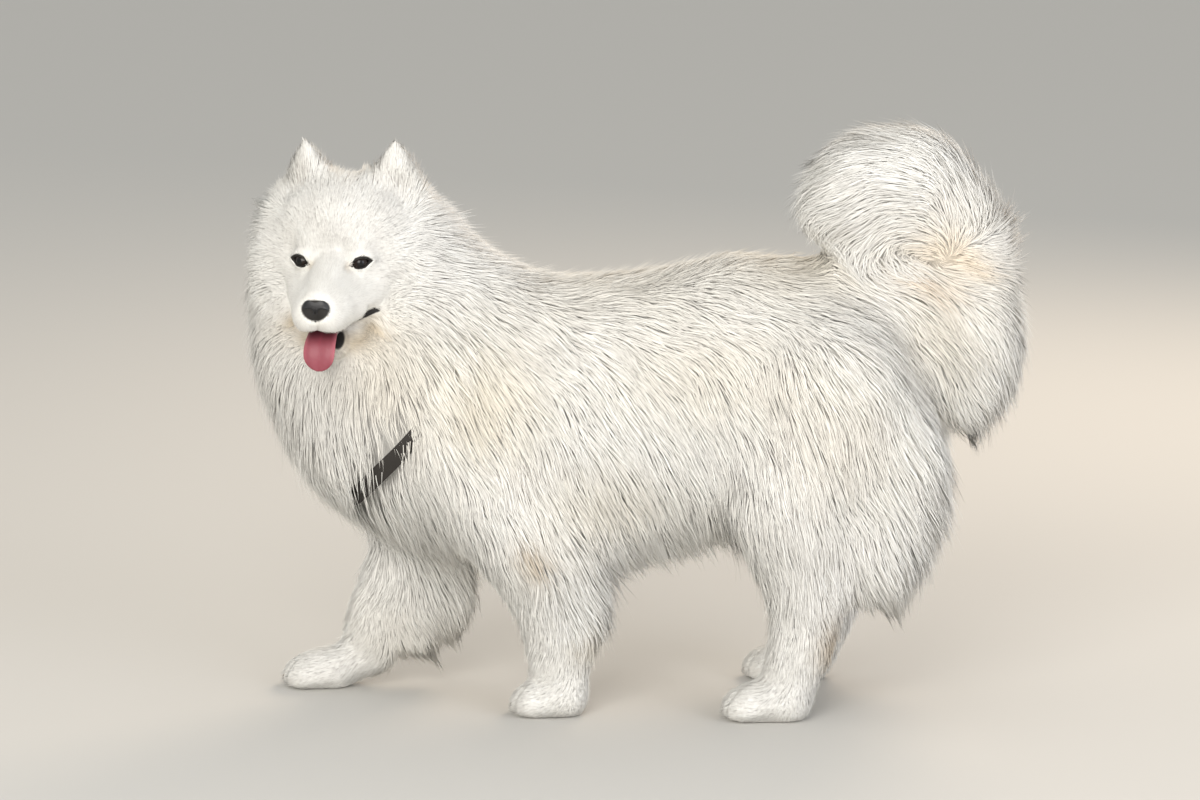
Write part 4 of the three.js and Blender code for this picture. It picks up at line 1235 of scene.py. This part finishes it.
# Pebbles about 1.1 mm across
pebbles = add_node(nose_material, "ShaderNodeTexVoronoi", {"Scale": 900.0}, {"Vector": place})
pebbled = {"Strength": 0.45, "Distance": 0.0004, "invert": True}
bump = add_node(nose_material, "ShaderNodeBump", pebbled, {"Height": pebbles.outputs["Distance"]})
connect(nose_material, bump.outputs["Normal"], shader, "Normal")
# Painted shade: the leather is darkest where it is hollow
shade_in_hollows = add_node(nose_material, "ShaderNodeAttribute", {"attribute_name": "hollow"})
nose_tones = add_node(nose_material, "ShaderNodeValToRGB", None, {"Fac": shade_in_hollows.outputs["Fac"]})
nose_tones.color_ramp.elements[0].color = linear("151518")
nose_tones.color_ramp.elements[1].color = linear("040404")
connect(nose_material, nose_tones.outputs["Color"], shader, "Base Color")
nose.data.materials.append(nose_material)
nose.data.shade_smooth()
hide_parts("nose")
print("nose points:", len(nose.data.vertices))

# %% [markdown]
# ## Tongue
# The tongue hangs forward over the lower lip, thin, wet and furrowed. It keeps its measured solid's
# shape: a merged copy is rounded with a subdivision surface. Painted shade makes it darker towards
# its root, inside the mouth; it is also darker in its furrow, and lighter along its edges.


# %% Tongue
def rounded(nodes, name, material, levels):
    made = joined_copy(nodes, name)
    apply_modifier(made, "SUBSURF", levels=levels, subdivision_type="CATMULL_CLARK")
    made.data.materials.clear()
    made.data.materials.append(material)
    made.data.shade_smooth()
    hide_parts(*nodes)
    return made


# Flesh with small papillae under spittle: light goes a little way into it, and the film hardly shines
tongue_material, shader = new_material(
    "wet tongue",
    Roughness=0.52,
    Coat_Weight=0.08,
    Coat_Roughness=0.2,
    Subsurface_Weight=0.15,
    Subsurface_Radius=(0.004, 0.0015, 0.001),
)
tone = add_node(tongue_material, "ShaderNodeAttribute", {"attribute_name": "markings_and_painted_light"})
connect(tongue_material, tone.outputs["Color"], shader, "Base Color")
place = add_node(tongue_material, "ShaderNodeTexCoord").outputs["Object"]
# Papillae about half a millimetre apart
papillae = add_node(tongue_material, "ShaderNodeTexVoronoi", {"Scale": 1900.0}, {"Vector": place})
rough = {"Strength": 0.25, "Distance": 0.0003, "invert": True}
bump = add_node(tongue_material, "ShaderNodeBump", rough, {"Height": papillae.outputs["Distance"]})
connect(tongue_material, bump.outputs["Normal"], shader, "Normal")
tongue = rounded(["tongue"], "tongue_flesh", tongue_material, 2)
tongue_places = in_head(points_of(tongue))
colour = np.tile(np.array(linear("8f4450")[:3]), (len(tongue_places), 1))
# Painted shade: the tongue darkens towards its root, inside the mouth
colour = paint(colour, step_between(-118, -96, tongue_places[:, 2]) * 0.75, linear("4e1d22"))
colour = paint(colour, np.exp(-(((tongue_places[:, 1] + 2) / 1.6) ** 2)) * 0.5, linear("8c3a48"))
colour = paint(colour, step_between(14, 22, np.abs(tongue_places[:, 1] + 2)) * 0.35, linear("d9808a"))
write_colour(tongue.data, "markings_and_painted_light", colour)
print("tongue points:", len(tongue.data.vertices))

# %% [markdown]
# ## Claws
# The claws are short, blunt horn that barely shows out of the hair. All sixteen are rounded copies of
# their solids in one piece, since they share a material and none of them moves.

# %% Claws
# Horn, grown in layers and worn on the ground: dull, mottled brown, smooth to the touch
claw_material, shader = new_material("horn of the claws", Roughness=0.35)
place = add_node(claw_material, "ShaderNodeTexCoord").outputs["Object"]
# Mottles about 2.4 mm across, coarser than the grain of real horn
mottled = {"Scale": 420.0, "Detail": 3.0}
mottles = add_node(claw_material, "ShaderNodeTexNoise", mottled, {"Vector": place}).outputs["Fac"]
horn = add_node(claw_material, "ShaderNodeValToRGB", None, {"Fac": mottles})
horn.color_ramp.elements[0].color = linear("4c3f36")
horn.color_ramp.elements[1].color = linear("8a7565")
connect(claw_material, horn.outputs["Color"], shader, "Base Color")
worn = {"Strength": 0.3, "Distance": 0.0003}
bump = add_node(claw_material, "ShaderNodeBump", worn, {"Height": mottles})
connect(claw_material, bump.outputs["Normal"], shader, "Normal")
claw_nodes = sorted(name for name in frame["nodes"] if name.startswith("claw"))
claws = rounded(claw_nodes, "claws", claw_material, 1)
print("claws:", len(claw_nodes), "points:", len(claws.data.vertices))

# %% [markdown]
# ## Neck strap
# The strap is a flat dark webbing that sinks into the ruff. Its edges are bevelled rather than
# rounded, which keeps it flat. Away from the chest it sits deeper, out of sight under the hair.

# %% Strap
STRAP_SINK = 0.015
STRAP_EDGE = 0.0012

# Nylon yarn, woven flat: matt, with fine ribs
strap_material, shader = new_material("woven nylon strap", Base_Color=linear("2b2723"), Roughness=0.75)
place = add_node(strap_material, "ShaderNodeTexCoord").outputs["Object"]
# Ribs about 1 mm apart, counted from side to side of the dog
woven = {"Scale": 300.0, "Distortion": 1.5, "Detail": 1.0}
weave = add_node(strap_material, "ShaderNodeTexWave", woven, {"Vector": place})
ribbed = {"Strength": 0.5, "Distance": 0.0005}
bump = add_node(strap_material, "ShaderNodeBump", ribbed, {"Height": weave.outputs["Fac"]})
connect(strap_material, bump.outputs["Normal"], shader, "Normal")
strap = joined_copy(["neck_strap"], "strap")
apply_modifier(strap, "BEVEL", width=STRAP_EDGE, segments=2, limit_method="ANGLE")
ring_points = points_of(strap)
inward = ring_points.mean(0) - ring_points
inward /= np.linalg.norm(inward, axis=1)[:, None]
hidden = 1 - strap_shows(ring_points)
write_points(strap, ring_points + inward * (STRAP_SINK * hidden)[:, None])
strap.data.materials.clear()
strap.data.materials.append(strap_material)
strap.data.shade_smooth()
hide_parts("neck_strap")
print("strap points:", len(strap.data.vertices))

# %% [markdown]
# ## Unwrap the skin
# Each tuft keeps a place on an unwrap of the skin, so that its colour can be kept in a picture of the
# skin later. The skin is cut into patches by the turn of its surface.

# %% Unwrap
select_only(skin)
bpy.ops.object.mode_set(mode="EDIT")
bpy.ops.mesh.select_all(action="SELECT")
bpy.ops.mesh.quads_convert_to_tris()
bpy.ops.uv.smart_project(angle_limit=math.radians(70), island_margin=0.001)
bpy.ops.object.mode_set(mode="OBJECT")
skin.data.uv_layers.active.name = "OFBake"

triangles = np.empty(len(skin.data.polygons) * 3, np.int32)
skin.data.polygons.foreach_get("vertices", triangles)
triangles = triangles.reshape(-1, 3)
corner_uv = np.empty(len(skin.data.loops) * 2, np.float32)
skin.data.uv_layers["OFBake"].data.foreach_get("uv", corner_uv)
corner_uv = corner_uv.reshape(-1, 3, 2)
print("skin triangles:", len(triangles))

# %% [markdown]
# ## Where the coat is bare, and where it parts
# The eyes' openings, the lips, the mouth, the nose and the soles have no hair. Beside them hair stands
# closer, and so it does where its lie spreads apart, or the skin would show there. How fast the
# directions spread is measured along the edges of the mesh.

# %% Bare places and partings
FINENESS = 0.70
PARTING_PASSES = 12

way, length, _, free, width = lie_of_coat(outline)
width = width * FINENESS
outline_tree = BVHTree.FromPolygons(outline.tolist(), triangles.tolist())
corners = outline[triangles]
cross = np.cross(corners[:, 1] - corners[:, 0], corners[:, 2] - corners[:, 0])
areas = np.linalg.norm(cross, axis=1) / 2
outline_normal = np.zeros_like(outline)
for corner in range(3):
    for axis in range(3):
        outline_normal[:, axis] += np.bincount(triangles[:, corner], cross[:, axis], len(outline))
outline_normal /= np.maximum(np.linalg.norm(outline_normal, axis=1), 1e-12)[:, None]
coat_depth = np.einsum("ij,ij->i", outline - under, outline_normal)
coat_depth = np.clip(coat_depth, 0.0003, 0.06)

bare_share = np.maximum.reduce(
    [
        lips,
        within,
        step_between(2.6, 2.0, lid_gap),
        step_between(17.4, 16.6, by_nose) * on_face,
        inside_mouth * 1.0,
        (lid_gap < 0.8) * 1.0,
    ]
)
bare_share[(outline[:, 2] < 0.004) & (outline_normal[:, 2] < -0.5)] = 1
edge_share = np.maximum(step_between(24, 19, by_nose) * on_face, step_between(8, 4, lid_gap))
edge_share = np.maximum(edge_share, step_between(9, 4, to_mouth) * on_face)
tuft_area = length * width * 0.5

run = outline[pairs[:, 1]] - outline[pairs[:, 0]]
spread_apart = ((way[pairs[:, 1]] - way[pairs[:, 0]]) * run).sum(1)
parting = spread_apart / np.maximum((run * run).sum(1), 1e-9)
parting = sum(np.bincount(pairs[:, end], parting, len(outline)) for end in (0, 1)) / count * 2
for _ in range(PARTING_PASSES):
    parting = neighbour_mean(parting[:, None], pairs, count)[:, 0]
parting = np.clip(parting * length, 0, 6)
length = length / (1 + 0.35 * parting)
print("strongest parting:", parting.max().round(1), "share above 1:", (parting > 1).mean().round(3))

# %% [markdown]
# ## Roots of the coat
# Roots are strewn over the outline's triangles, closer where tufts are short and thin. Blender's own
# hair would strew them too, but closed tufts stay meshes in every program. Each root is at a random
# place in its triangle. Their number is cut down to what a set number of triangles allows.


# %% Strew the roots
COAT_TRIANGLES = 1_420_000
COVER = 6.5
BENT_SHARE = 0.35
LONG_HAIR = 0.045
BARE_FROM = 0.4

density = COVER / tuft_area * (1 + 1.5 * edge_share + 1.2 * parting)
long_hair = length > LONG_HAIR
per_triangle = density[triangles].mean(1) * (bare_share[triangles].min(1) < BARE_FROM)
count_of = areas * per_triangle
cost = np.where(long_hair[triangles[:, 0]], 6 + 6 * BENT_SHARE, 6)
full_cover = min(1, COAT_TRIANGLES / (count_of * cost).sum())
count_of *= full_cover
print("tufts wanted:", int(count_of.sum()), "share of full cover:", round(full_cover, 2))

amount = int(count_of.sum())
marks_along = (np.arange(amount) + rng.random(amount)) / amount
chosen = np.searchsorted(np.cumsum(count_of) / count_of.sum(), marks_along)
chosen = np.minimum(chosen, len(triangles) - 1)
pick = np.sqrt(rng.random(amount))
second = rng.random(amount)
weights = np.column_stack([1 - pick, pick * (1 - second), pick * second])


def at_corners(values, chosen, weights):
    """Values of the skin's points, blended inside the chosen triangles."""
    picked = values[triangles[chosen]]
    if values.ndim == 1:
        return (picked * weights).sum(1)
    return (picked * weights[:, :, None]).sum(1)


haired = at_corners(bare_share, chosen, weights) < BARE_FROM
chosen, weights = chosen[haired], weights[haired]
amount = len(chosen)
root_place = at_corners(outline, chosen, weights)
root_uv = (corner_uv[chosen] * weights[:, :, None]).sum(1)
tuft_length = at_corners(length, chosen, weights) * rng.uniform(0.72, 1.12, amount)
tuft_width = at_corners(width, chosen, weights) * rng.uniform(0.75, 1.25, amount)
tuft_free = at_corners(free, chosen, weights)
is_long = long_hair[triangles[chosen, 0]] & (rng.random(amount) < BENT_SHARE)

# %% [markdown]
# ## Ways over the outline
# A step along the coat leaves the outline a little, so the nearest place on it is looked up again. Its
# triangle and its share of the corners give the direction there. Slow waves of the direction make the
# coat wander as real hair does.


# %% Helpers for the walk
def wander(points, size, seed):
    """A slow wave in -1 to 1 for each point, with bumps about size metres across."""
    waves = np.random.default_rng(seed)
    total = np.zeros(len(points))
    for _ in range(5):
        turn = waves.normal(size=3)
        turn *= 2 * math.pi / size / np.linalg.norm(turn) * waves.uniform(0.6, 1.4)
        total += np.sin(points @ turn + waves.uniform(0, 6.28))
    return total / 2.6


def nearest_on_outline(points):
    """Nearest places on the outline, with their triangles and weights."""
    found = np.empty((len(points), 3))
    index = np.empty(len(points), np.int64)
    for i, point in enumerate(points.tolist()):
        place, _, index[i], _ = outline_tree.find_nearest(point)
        found[i] = place
    a, b, c = (outline[triangles[index, k]] for k in range(3))
    ab, ac, ap = b - a, c - a, found - a
    d00, d01, d11 = (ab * ab).sum(1), (ab * ac).sum(1), (ac * ac).sum(1)
    d20, d21 = (ap * ab).sum(1), (ap * ac).sum(1)
    base = np.maximum(d00 * d11 - d01 * d01, 1e-18)
    v = np.clip((d11 * d20 - d01 * d21) / base, 0, 1)
    w = np.clip((d00 * d21 - d01 * d20) / base, 0, 1)
    return found, index, np.column_stack([np.clip(1 - v - w, 0, 1), v, w])


def unit_rows(values):
    return values / np.maximum(np.linalg.norm(values, axis=1), 1e-9)[:, None]


# %% [markdown]
# ## Let the tufts grow
# Each tuft starts on the skin and walks down the lie of the coat in three steps. After each step it is
# put back on the outline and then held under it, deep at the root and just below it at the tip, so
# the tips together make the outline. Where the coat is free, as on the tail and the trousers, tips
# leave the form. About one tuft in eight is a wisp, which is longer and stands off.

# %% Walk along the coat
STATIONS = np.array([0.0, 0.3, 0.66, 1.0])
RISES = [-0.02, 0.5, 0.82, 0.97]
WISPY_SHARE = 0.13
FLOOR_GAP = 0.0015

turn_slow = wander(root_place, 0.11, 1) * 0.14 + wander(root_place, 0.035, 2) * 0.14
turn_own = rng.normal(0, 0.09, amount)
tallness = rng.uniform(0.86, 1.0, amount) + 0.04 * wander(root_place, 0.045, 3)
wispy = rng.random(amount) < WISPY_SHARE
tuft_length = np.where(wispy, tuft_length * 1.25, tuft_length)
wisp = np.where(wispy, rng.uniform(2, 18, amount), rng.normal(0, 1.0, amount)) * MM
wisp *= np.clip(tuft_length / 0.07, 0.08, 1)

place, tri, wts = root_place, chosen, weights
free_rise = np.zeros(amount)
stations, station_normals = [], []
for k, share in enumerate(STATIONS):
    normal = unit_rows(at_corners(outline_normal, tri, wts))
    deep = at_corners(coat_depth, tri, wts)
    rise = np.interp(share, [0, 0.3, 0.66, 1], RISES)
    below = deep * (1 - rise * (1 if k == 0 else tallness))
    stations.append(place + normal * (free_rise + wisp * share**2 - below)[:, None])
    station_normals.append(normal)
    if k == len(STATIONS) - 1:
        break
    step = tuft_length * (STATIONS[k + 1] - share)
    ahead = unit_rows(at_corners(way, tri, wts))
    outward = (ahead * normal).sum(1)
    flat = ahead - outward[:, None] * normal
    across = np.cross(normal, unit_rows(flat))
    turn = (turn_slow + turn_own)[:, None]
    flat = flat * np.cos(turn) + across * np.linalg.norm(flat, axis=1)[:, None] * np.sin(turn)
    free_rise = free_rise + step * np.maximum(outward, 0) * tuft_free
    place, tri, wts = nearest_on_outline(place + flat * step[:, None])
stations = np.stack(stations)
stations[:, :, 2] = np.maximum(stations[:, :, 2], FLOOR_GAP)
station_normals = np.stack(station_normals)
print("walked", amount, "tufts; mean length in mm:", (tuft_length / MM).mean().round(1))

# %% [markdown]
# ## Open the coat over the strap
# Tufts that cross the open stretch of the strap are left out, but for a few by chance, so that some
# hair still falls over it and the stretch has no hard ends.

# %% Part the hair over the strap
ON_STRAP = 0.010

on_strap = np.zeros(amount, bool)
parting_chance = rng.uniform(0.1, 1.12, amount)
for k in (1, 2, 3):
    near = np.flatnonzero(strap_shows(stations[k]) > parting_chance)
    gaps = np.array([strap_tree.find_nearest(point)[3] or 1 for point in stations[k][near].tolist()])
    on_strap[near[gaps < ON_STRAP]] = True
print("tufts parted over the strap:", int(on_strap.sum()))

# %% [markdown]
# ## Gather the tufts into locks
# Hair sticks together in locks whose ends meet. First all tufts lean a little towards leaders that
# stand far apart. Then every ninth tuft leads, and the others lean more strongly towards the nearest
# leader. Both pulls grow towards the tip. Short hair lies by itself.


# %% Gather the tufts
def nearest_leader(places, leaders):
    tree = KDTree(len(leaders))
    for i in leaders:
        tree.insert(places[i], i)
    tree.balance()
    return np.array([tree.find(point)[1] for point in places.tolist()])


def gather(stations, every, strength, pull):
    """Moves the stations towards those of a leading tuft near the root."""
    leaders = rng.choice(amount, amount // every, replace=False)
    leader = nearest_leader(root_place, leaders)
    force = strength * rng.uniform(0.55, 1.0, amount)[leader]
    force = force * step_between(0.010, 0.040, tuft_length)
    moved = stations.copy()
    for k, share in enumerate(pull):
        spread = rng.normal(0, 0.35, (amount, 3)) * tuft_width[:, None]
        aim = stations[k][leader] + spread
        moved[k] = stations[k] + (force * share)[:, None] * (aim - stations[k])
    return moved


stations = gather(stations, 140, 0.12, [0, 0.2, 0.55, 0.9])
stations = gather(stations, 9, 0.42, [0, 0.12, 0.45, 0.95])
tip_moves = np.linalg.norm(stations[-1] - stations[0], axis=1)
print("mean reach from root to tip in mm:", (tip_moves / MM).mean().round(1))

# %% [markdown]
# ## One tuft as a solid
# A tuft is a closed, three-sided spike: a point at the root, a ring of three points, and a point at
# the tip. About a third of the long ones have two rings, so that they can bend. The shading normals
# lean towards the surface of the coat, which makes many hard spikes look like one soft mass.


# %% Points and faces of the tufts
SOFT_SHORT, SOFT_LONG = 0.78, 0.92
SOFT_LENGTHS = [0.012, 0.05]


def tuft_rings(paths, normals, widths, shares, soft):
    """Points and normals of the rings between the ends of each path."""
    rings, ring_normals = [], []
    for k in range(1, len(paths) - 1):
        along = unit_rows(paths[k + 1] - paths[k - 1])
        side = unit_rows(np.cross(along, normals[k]))
        top = np.cross(side, along)
        half = (widths * shares[k - 1] / 2)[:, None]
        for right, up in ((1.0, -0.1), (0.0, 0.42), (-1.0, -0.1)):
            off = side * right + top * up
            rings.append(paths[k] + off * half)
            ring_normals.append(unit_rows(soft * normals[k] + (1 - soft) * unit_rows(off)))
    return rings, ring_normals


def tuft_block(chosen_tufts, long_kind):
    """Points and normals of these tufts, in one row for each tuft."""
    paths = [stations[k][chosen_tufts] for k in range(4)]
    normals = [station_normals[k][chosen_tufts] for k in range(4)]
    if not long_kind:
        paths = [paths[0], 0.5 * (paths[1] + paths[2]), paths[3]]
        normals = [normals[0], normals[2], normals[3]]
    soft = np.interp(tuft_length[chosen_tufts], SOFT_LENGTHS, [SOFT_SHORT, SOFT_LONG])[:, None]
    shares = [1.0, 0.85] if long_kind else [1.0]
    rings, ring_normals = tuft_rings(paths, normals, tuft_width[chosen_tufts], shares, soft)
    block = [paths[0]] + rings + [paths[-1]]
    block_normals = [normals[0]] + ring_normals + [normals[-1]]
    return np.stack(block, 1), np.stack(block_normals, 1)


def tuft_pattern(per):
    """The triangles of one spike with per points: its root, rings of three and its tip."""
    pattern = [(0, 1, 2), (0, 2, 3), (0, 3, 1)]
    for ring in range((per - 2) // 3 - 1):
        low = 1 + 3 * ring
        for a in range(3):
            b = (a + 1) % 3
            pattern += [(low + a, low + 3 + b, low + b), (low + a, low + 3 + a, low + 3 + b)]
    low, tip = per - 4, per - 1
    pattern += [(low, tip, low + 1), (low + 1, tip, low + 2), (low + 2, tip, low)]
    return np.array(pattern)


print("triangles of a short and a long tuft:", len(tuft_pattern(5)), len(tuft_pattern(8)))

# %% [markdown]
# ## Colour of the tufts
# A tuft takes the colour at its root and a tone of its own, and painted shade darkens it a little
# towards the root.
# On the unwrap it covers three thousandths of the picture's width, so a baked picture can keep its
# colour.

# %% Shades of the tufts
TUFT_PATCH = 0.003
BRIGHTEST = 0.92

tuft_colour = hair_colour(root_place)
tuft_shade = rng.normal(0.985, 0.05, amount) + 0.03 * wander(root_place, 0.03, 5)
tuft_shade = np.clip(tuft_shade, 0.85, 1.08)
print("mean colour of the coat:", tuft_colour.mean(0).round(3), "mean shade:", tuft_shade.mean().round(3))

# %% [markdown]
# ## A piece of the coat
# A mesh is filled from whole tables at once, since adding a million faces one by one would take
# minutes. The faces are shaded smooth first, and then the leaning normals of the tufts are written.


# %% Make a piece of the coat
def mesh_from(name, points, faces):
    """A mesh of triangles from a table of points and one of corners."""
    mesh = bpy.data.meshes.new(name)
    mesh.vertices.add(len(points))
    mesh.vertices.foreach_set("co", points.astype(np.float32).ravel())
    mesh.loops.add(faces.size)
    mesh.loops.foreach_set("vertex_index", faces.astype(np.int32).ravel())
    mesh.polygons.add(len(faces))
    mesh.polygons.foreach_set("loop_start", np.arange(0, faces.size, 3, dtype=np.int32))
    mesh.update(calc_edges=True)
    return mesh


def coat_piece(name, chosen_tufts, long_kind, material):
    """One object with these tufts, their colours and their patches on the unwrap."""
    block, block_normals = tuft_block(chosen_tufts, long_kind)
    number, per = block.shape[:2]
    pattern = tuft_pattern(per)
    faces = (np.arange(number)[:, None, None] * per + pattern[None]).reshape(-1, 3)
    mesh = mesh_from(name, block.reshape(-1, 3), faces)
    along = np.array([0.0] + ([0.3] * 3 + [0.66] * 3 if long_kind else [0.5] * 3) + [1.0])
    own = tuft_shade[chosen_tufts]
    # Painted shade: each tuft is a little darker towards its root, deep in the coat
    root_shade = 0.9 + 0.1 * along**0.7
    colour = tuft_colour[chosen_tufts][:, None, :] * (own[:, None] * root_shade[None])[:, :, None]
    write_colour(mesh, "markings_and_painted_light", np.clip(colour, 0, BRIGHTEST).reshape(-1, 3))
    layer = mesh.uv_layers.new(name="OFBake")
    spot = np.column_stack([np.linspace(-0.5, 0.5, per), along - 0.5]) * TUFT_PATCH
    uv = np.clip(root_uv[chosen_tufts][:, None, :] + spot[None], 0.001, 0.999).reshape(-1, 2)
    layer.data.foreach_set("uv", uv[faces.ravel()].astype(np.float32).ravel())
    mesh.materials.append(material)
    mesh.shade_smooth()
    mesh.normals_split_custom_set_from_vertices(block_normals.reshape(-1, 3))
    made = bpy.data.objects.new(name, mesh)
    bpy.context.scene.collection.objects.link(made)
    return made


# %% [markdown]
# ## The coat in pieces
# The coat is made in pieces by region, each small enough to be exported whole. Every root goes to the
# first region in the list that takes it, so the last one takes what is left.


# %% Pieces of the coat
PIECE_TRIANGLES = 190_000
# Living hair, grown in straight shafts with fine scales: satin, and never glossy
coat_material, shader = new_material("white spitz hair", Roughness=0.62)
# Kept colours of the tufts: markings, painted shade at the roots, and painted light at the tail
marks_and_painted_light = add_node(coat_material, "ShaderNodeAttribute", {"attribute_name": "markings_and_painted_light"})
connect(coat_material, marks_and_painted_light.outputs["Color"], shader, "Base Color")


def on_head_of(h):
    """True for head places on the skull and the ears."""
    return (np.linalg.norm(h * (1, 0.85, 0.9), axis=1) < 120) | (h[:, 2] > 60)


# Each test gets the roots in the model's frame in m, and as head places in mm
REGIONS = {
    "face": lambda p, h: (on_head_of(h) & (h[:, 0] > 20)),
    "crown_and_ears": lambda p, h: on_head_of(h),
    "neck": lambda p, h: p[:, 1] < -0.235,
    "shoulders": lambda p, h: (p[:, 1] < -0.10) & (p[:, 2] > 0.27),
    "forelegs": lambda p, h: p[:, 1] < -0.02,
    "flanks": lambda p, h: (p[:, 1] < 0.15) & (p[:, 2] > 0.16),
    "tail": lambda p, h: (np.abs(p[:, 0]) < 0.09) & (p[:, 1] > 0.2) & (p[:, 2] > 0.62),
    "plume_end": lambda p, h: (p[:, 1] > 0.40) & (p[:, 2] > 0.34),
    "rump": lambda p, h: p[:, 2] > 0.40,
    "hindlegs": lambda p, h: p[:, 2] > -1,
}

root_head = in_head(root_place)
left_over = ~on_strap
coat = []
for region, test in REGIONS.items():
    inside = left_over & test(root_place, root_head)
    left_over &= ~inside
    for kind, per_tuft in ((True, 12), (False, 6)):
        members = np.flatnonzero(inside & (is_long == kind))
        if not len(members):
            continue
        parts = math.ceil(len(members) * per_tuft / PIECE_TRIANGLES)
        members = members[np.argsort(root_place[members, 1], kind="stable")]
        for part, some in enumerate(np.array_split(members, parts)):
            name = f"coat_{region}_{'long' if kind else 'short'}_{part + 1}"
            coat.append(coat_piece(name, some, kind, coat_material))
print("coat pieces:", len(coat), "triangles:", sum(len(item.data.polygons) for item in coat))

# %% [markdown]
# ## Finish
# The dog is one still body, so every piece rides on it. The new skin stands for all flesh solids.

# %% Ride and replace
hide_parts(*FLESH)
for item in [skin, nose, tongue, claws, strap, *eyes, *coat]:
    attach(item, "root")
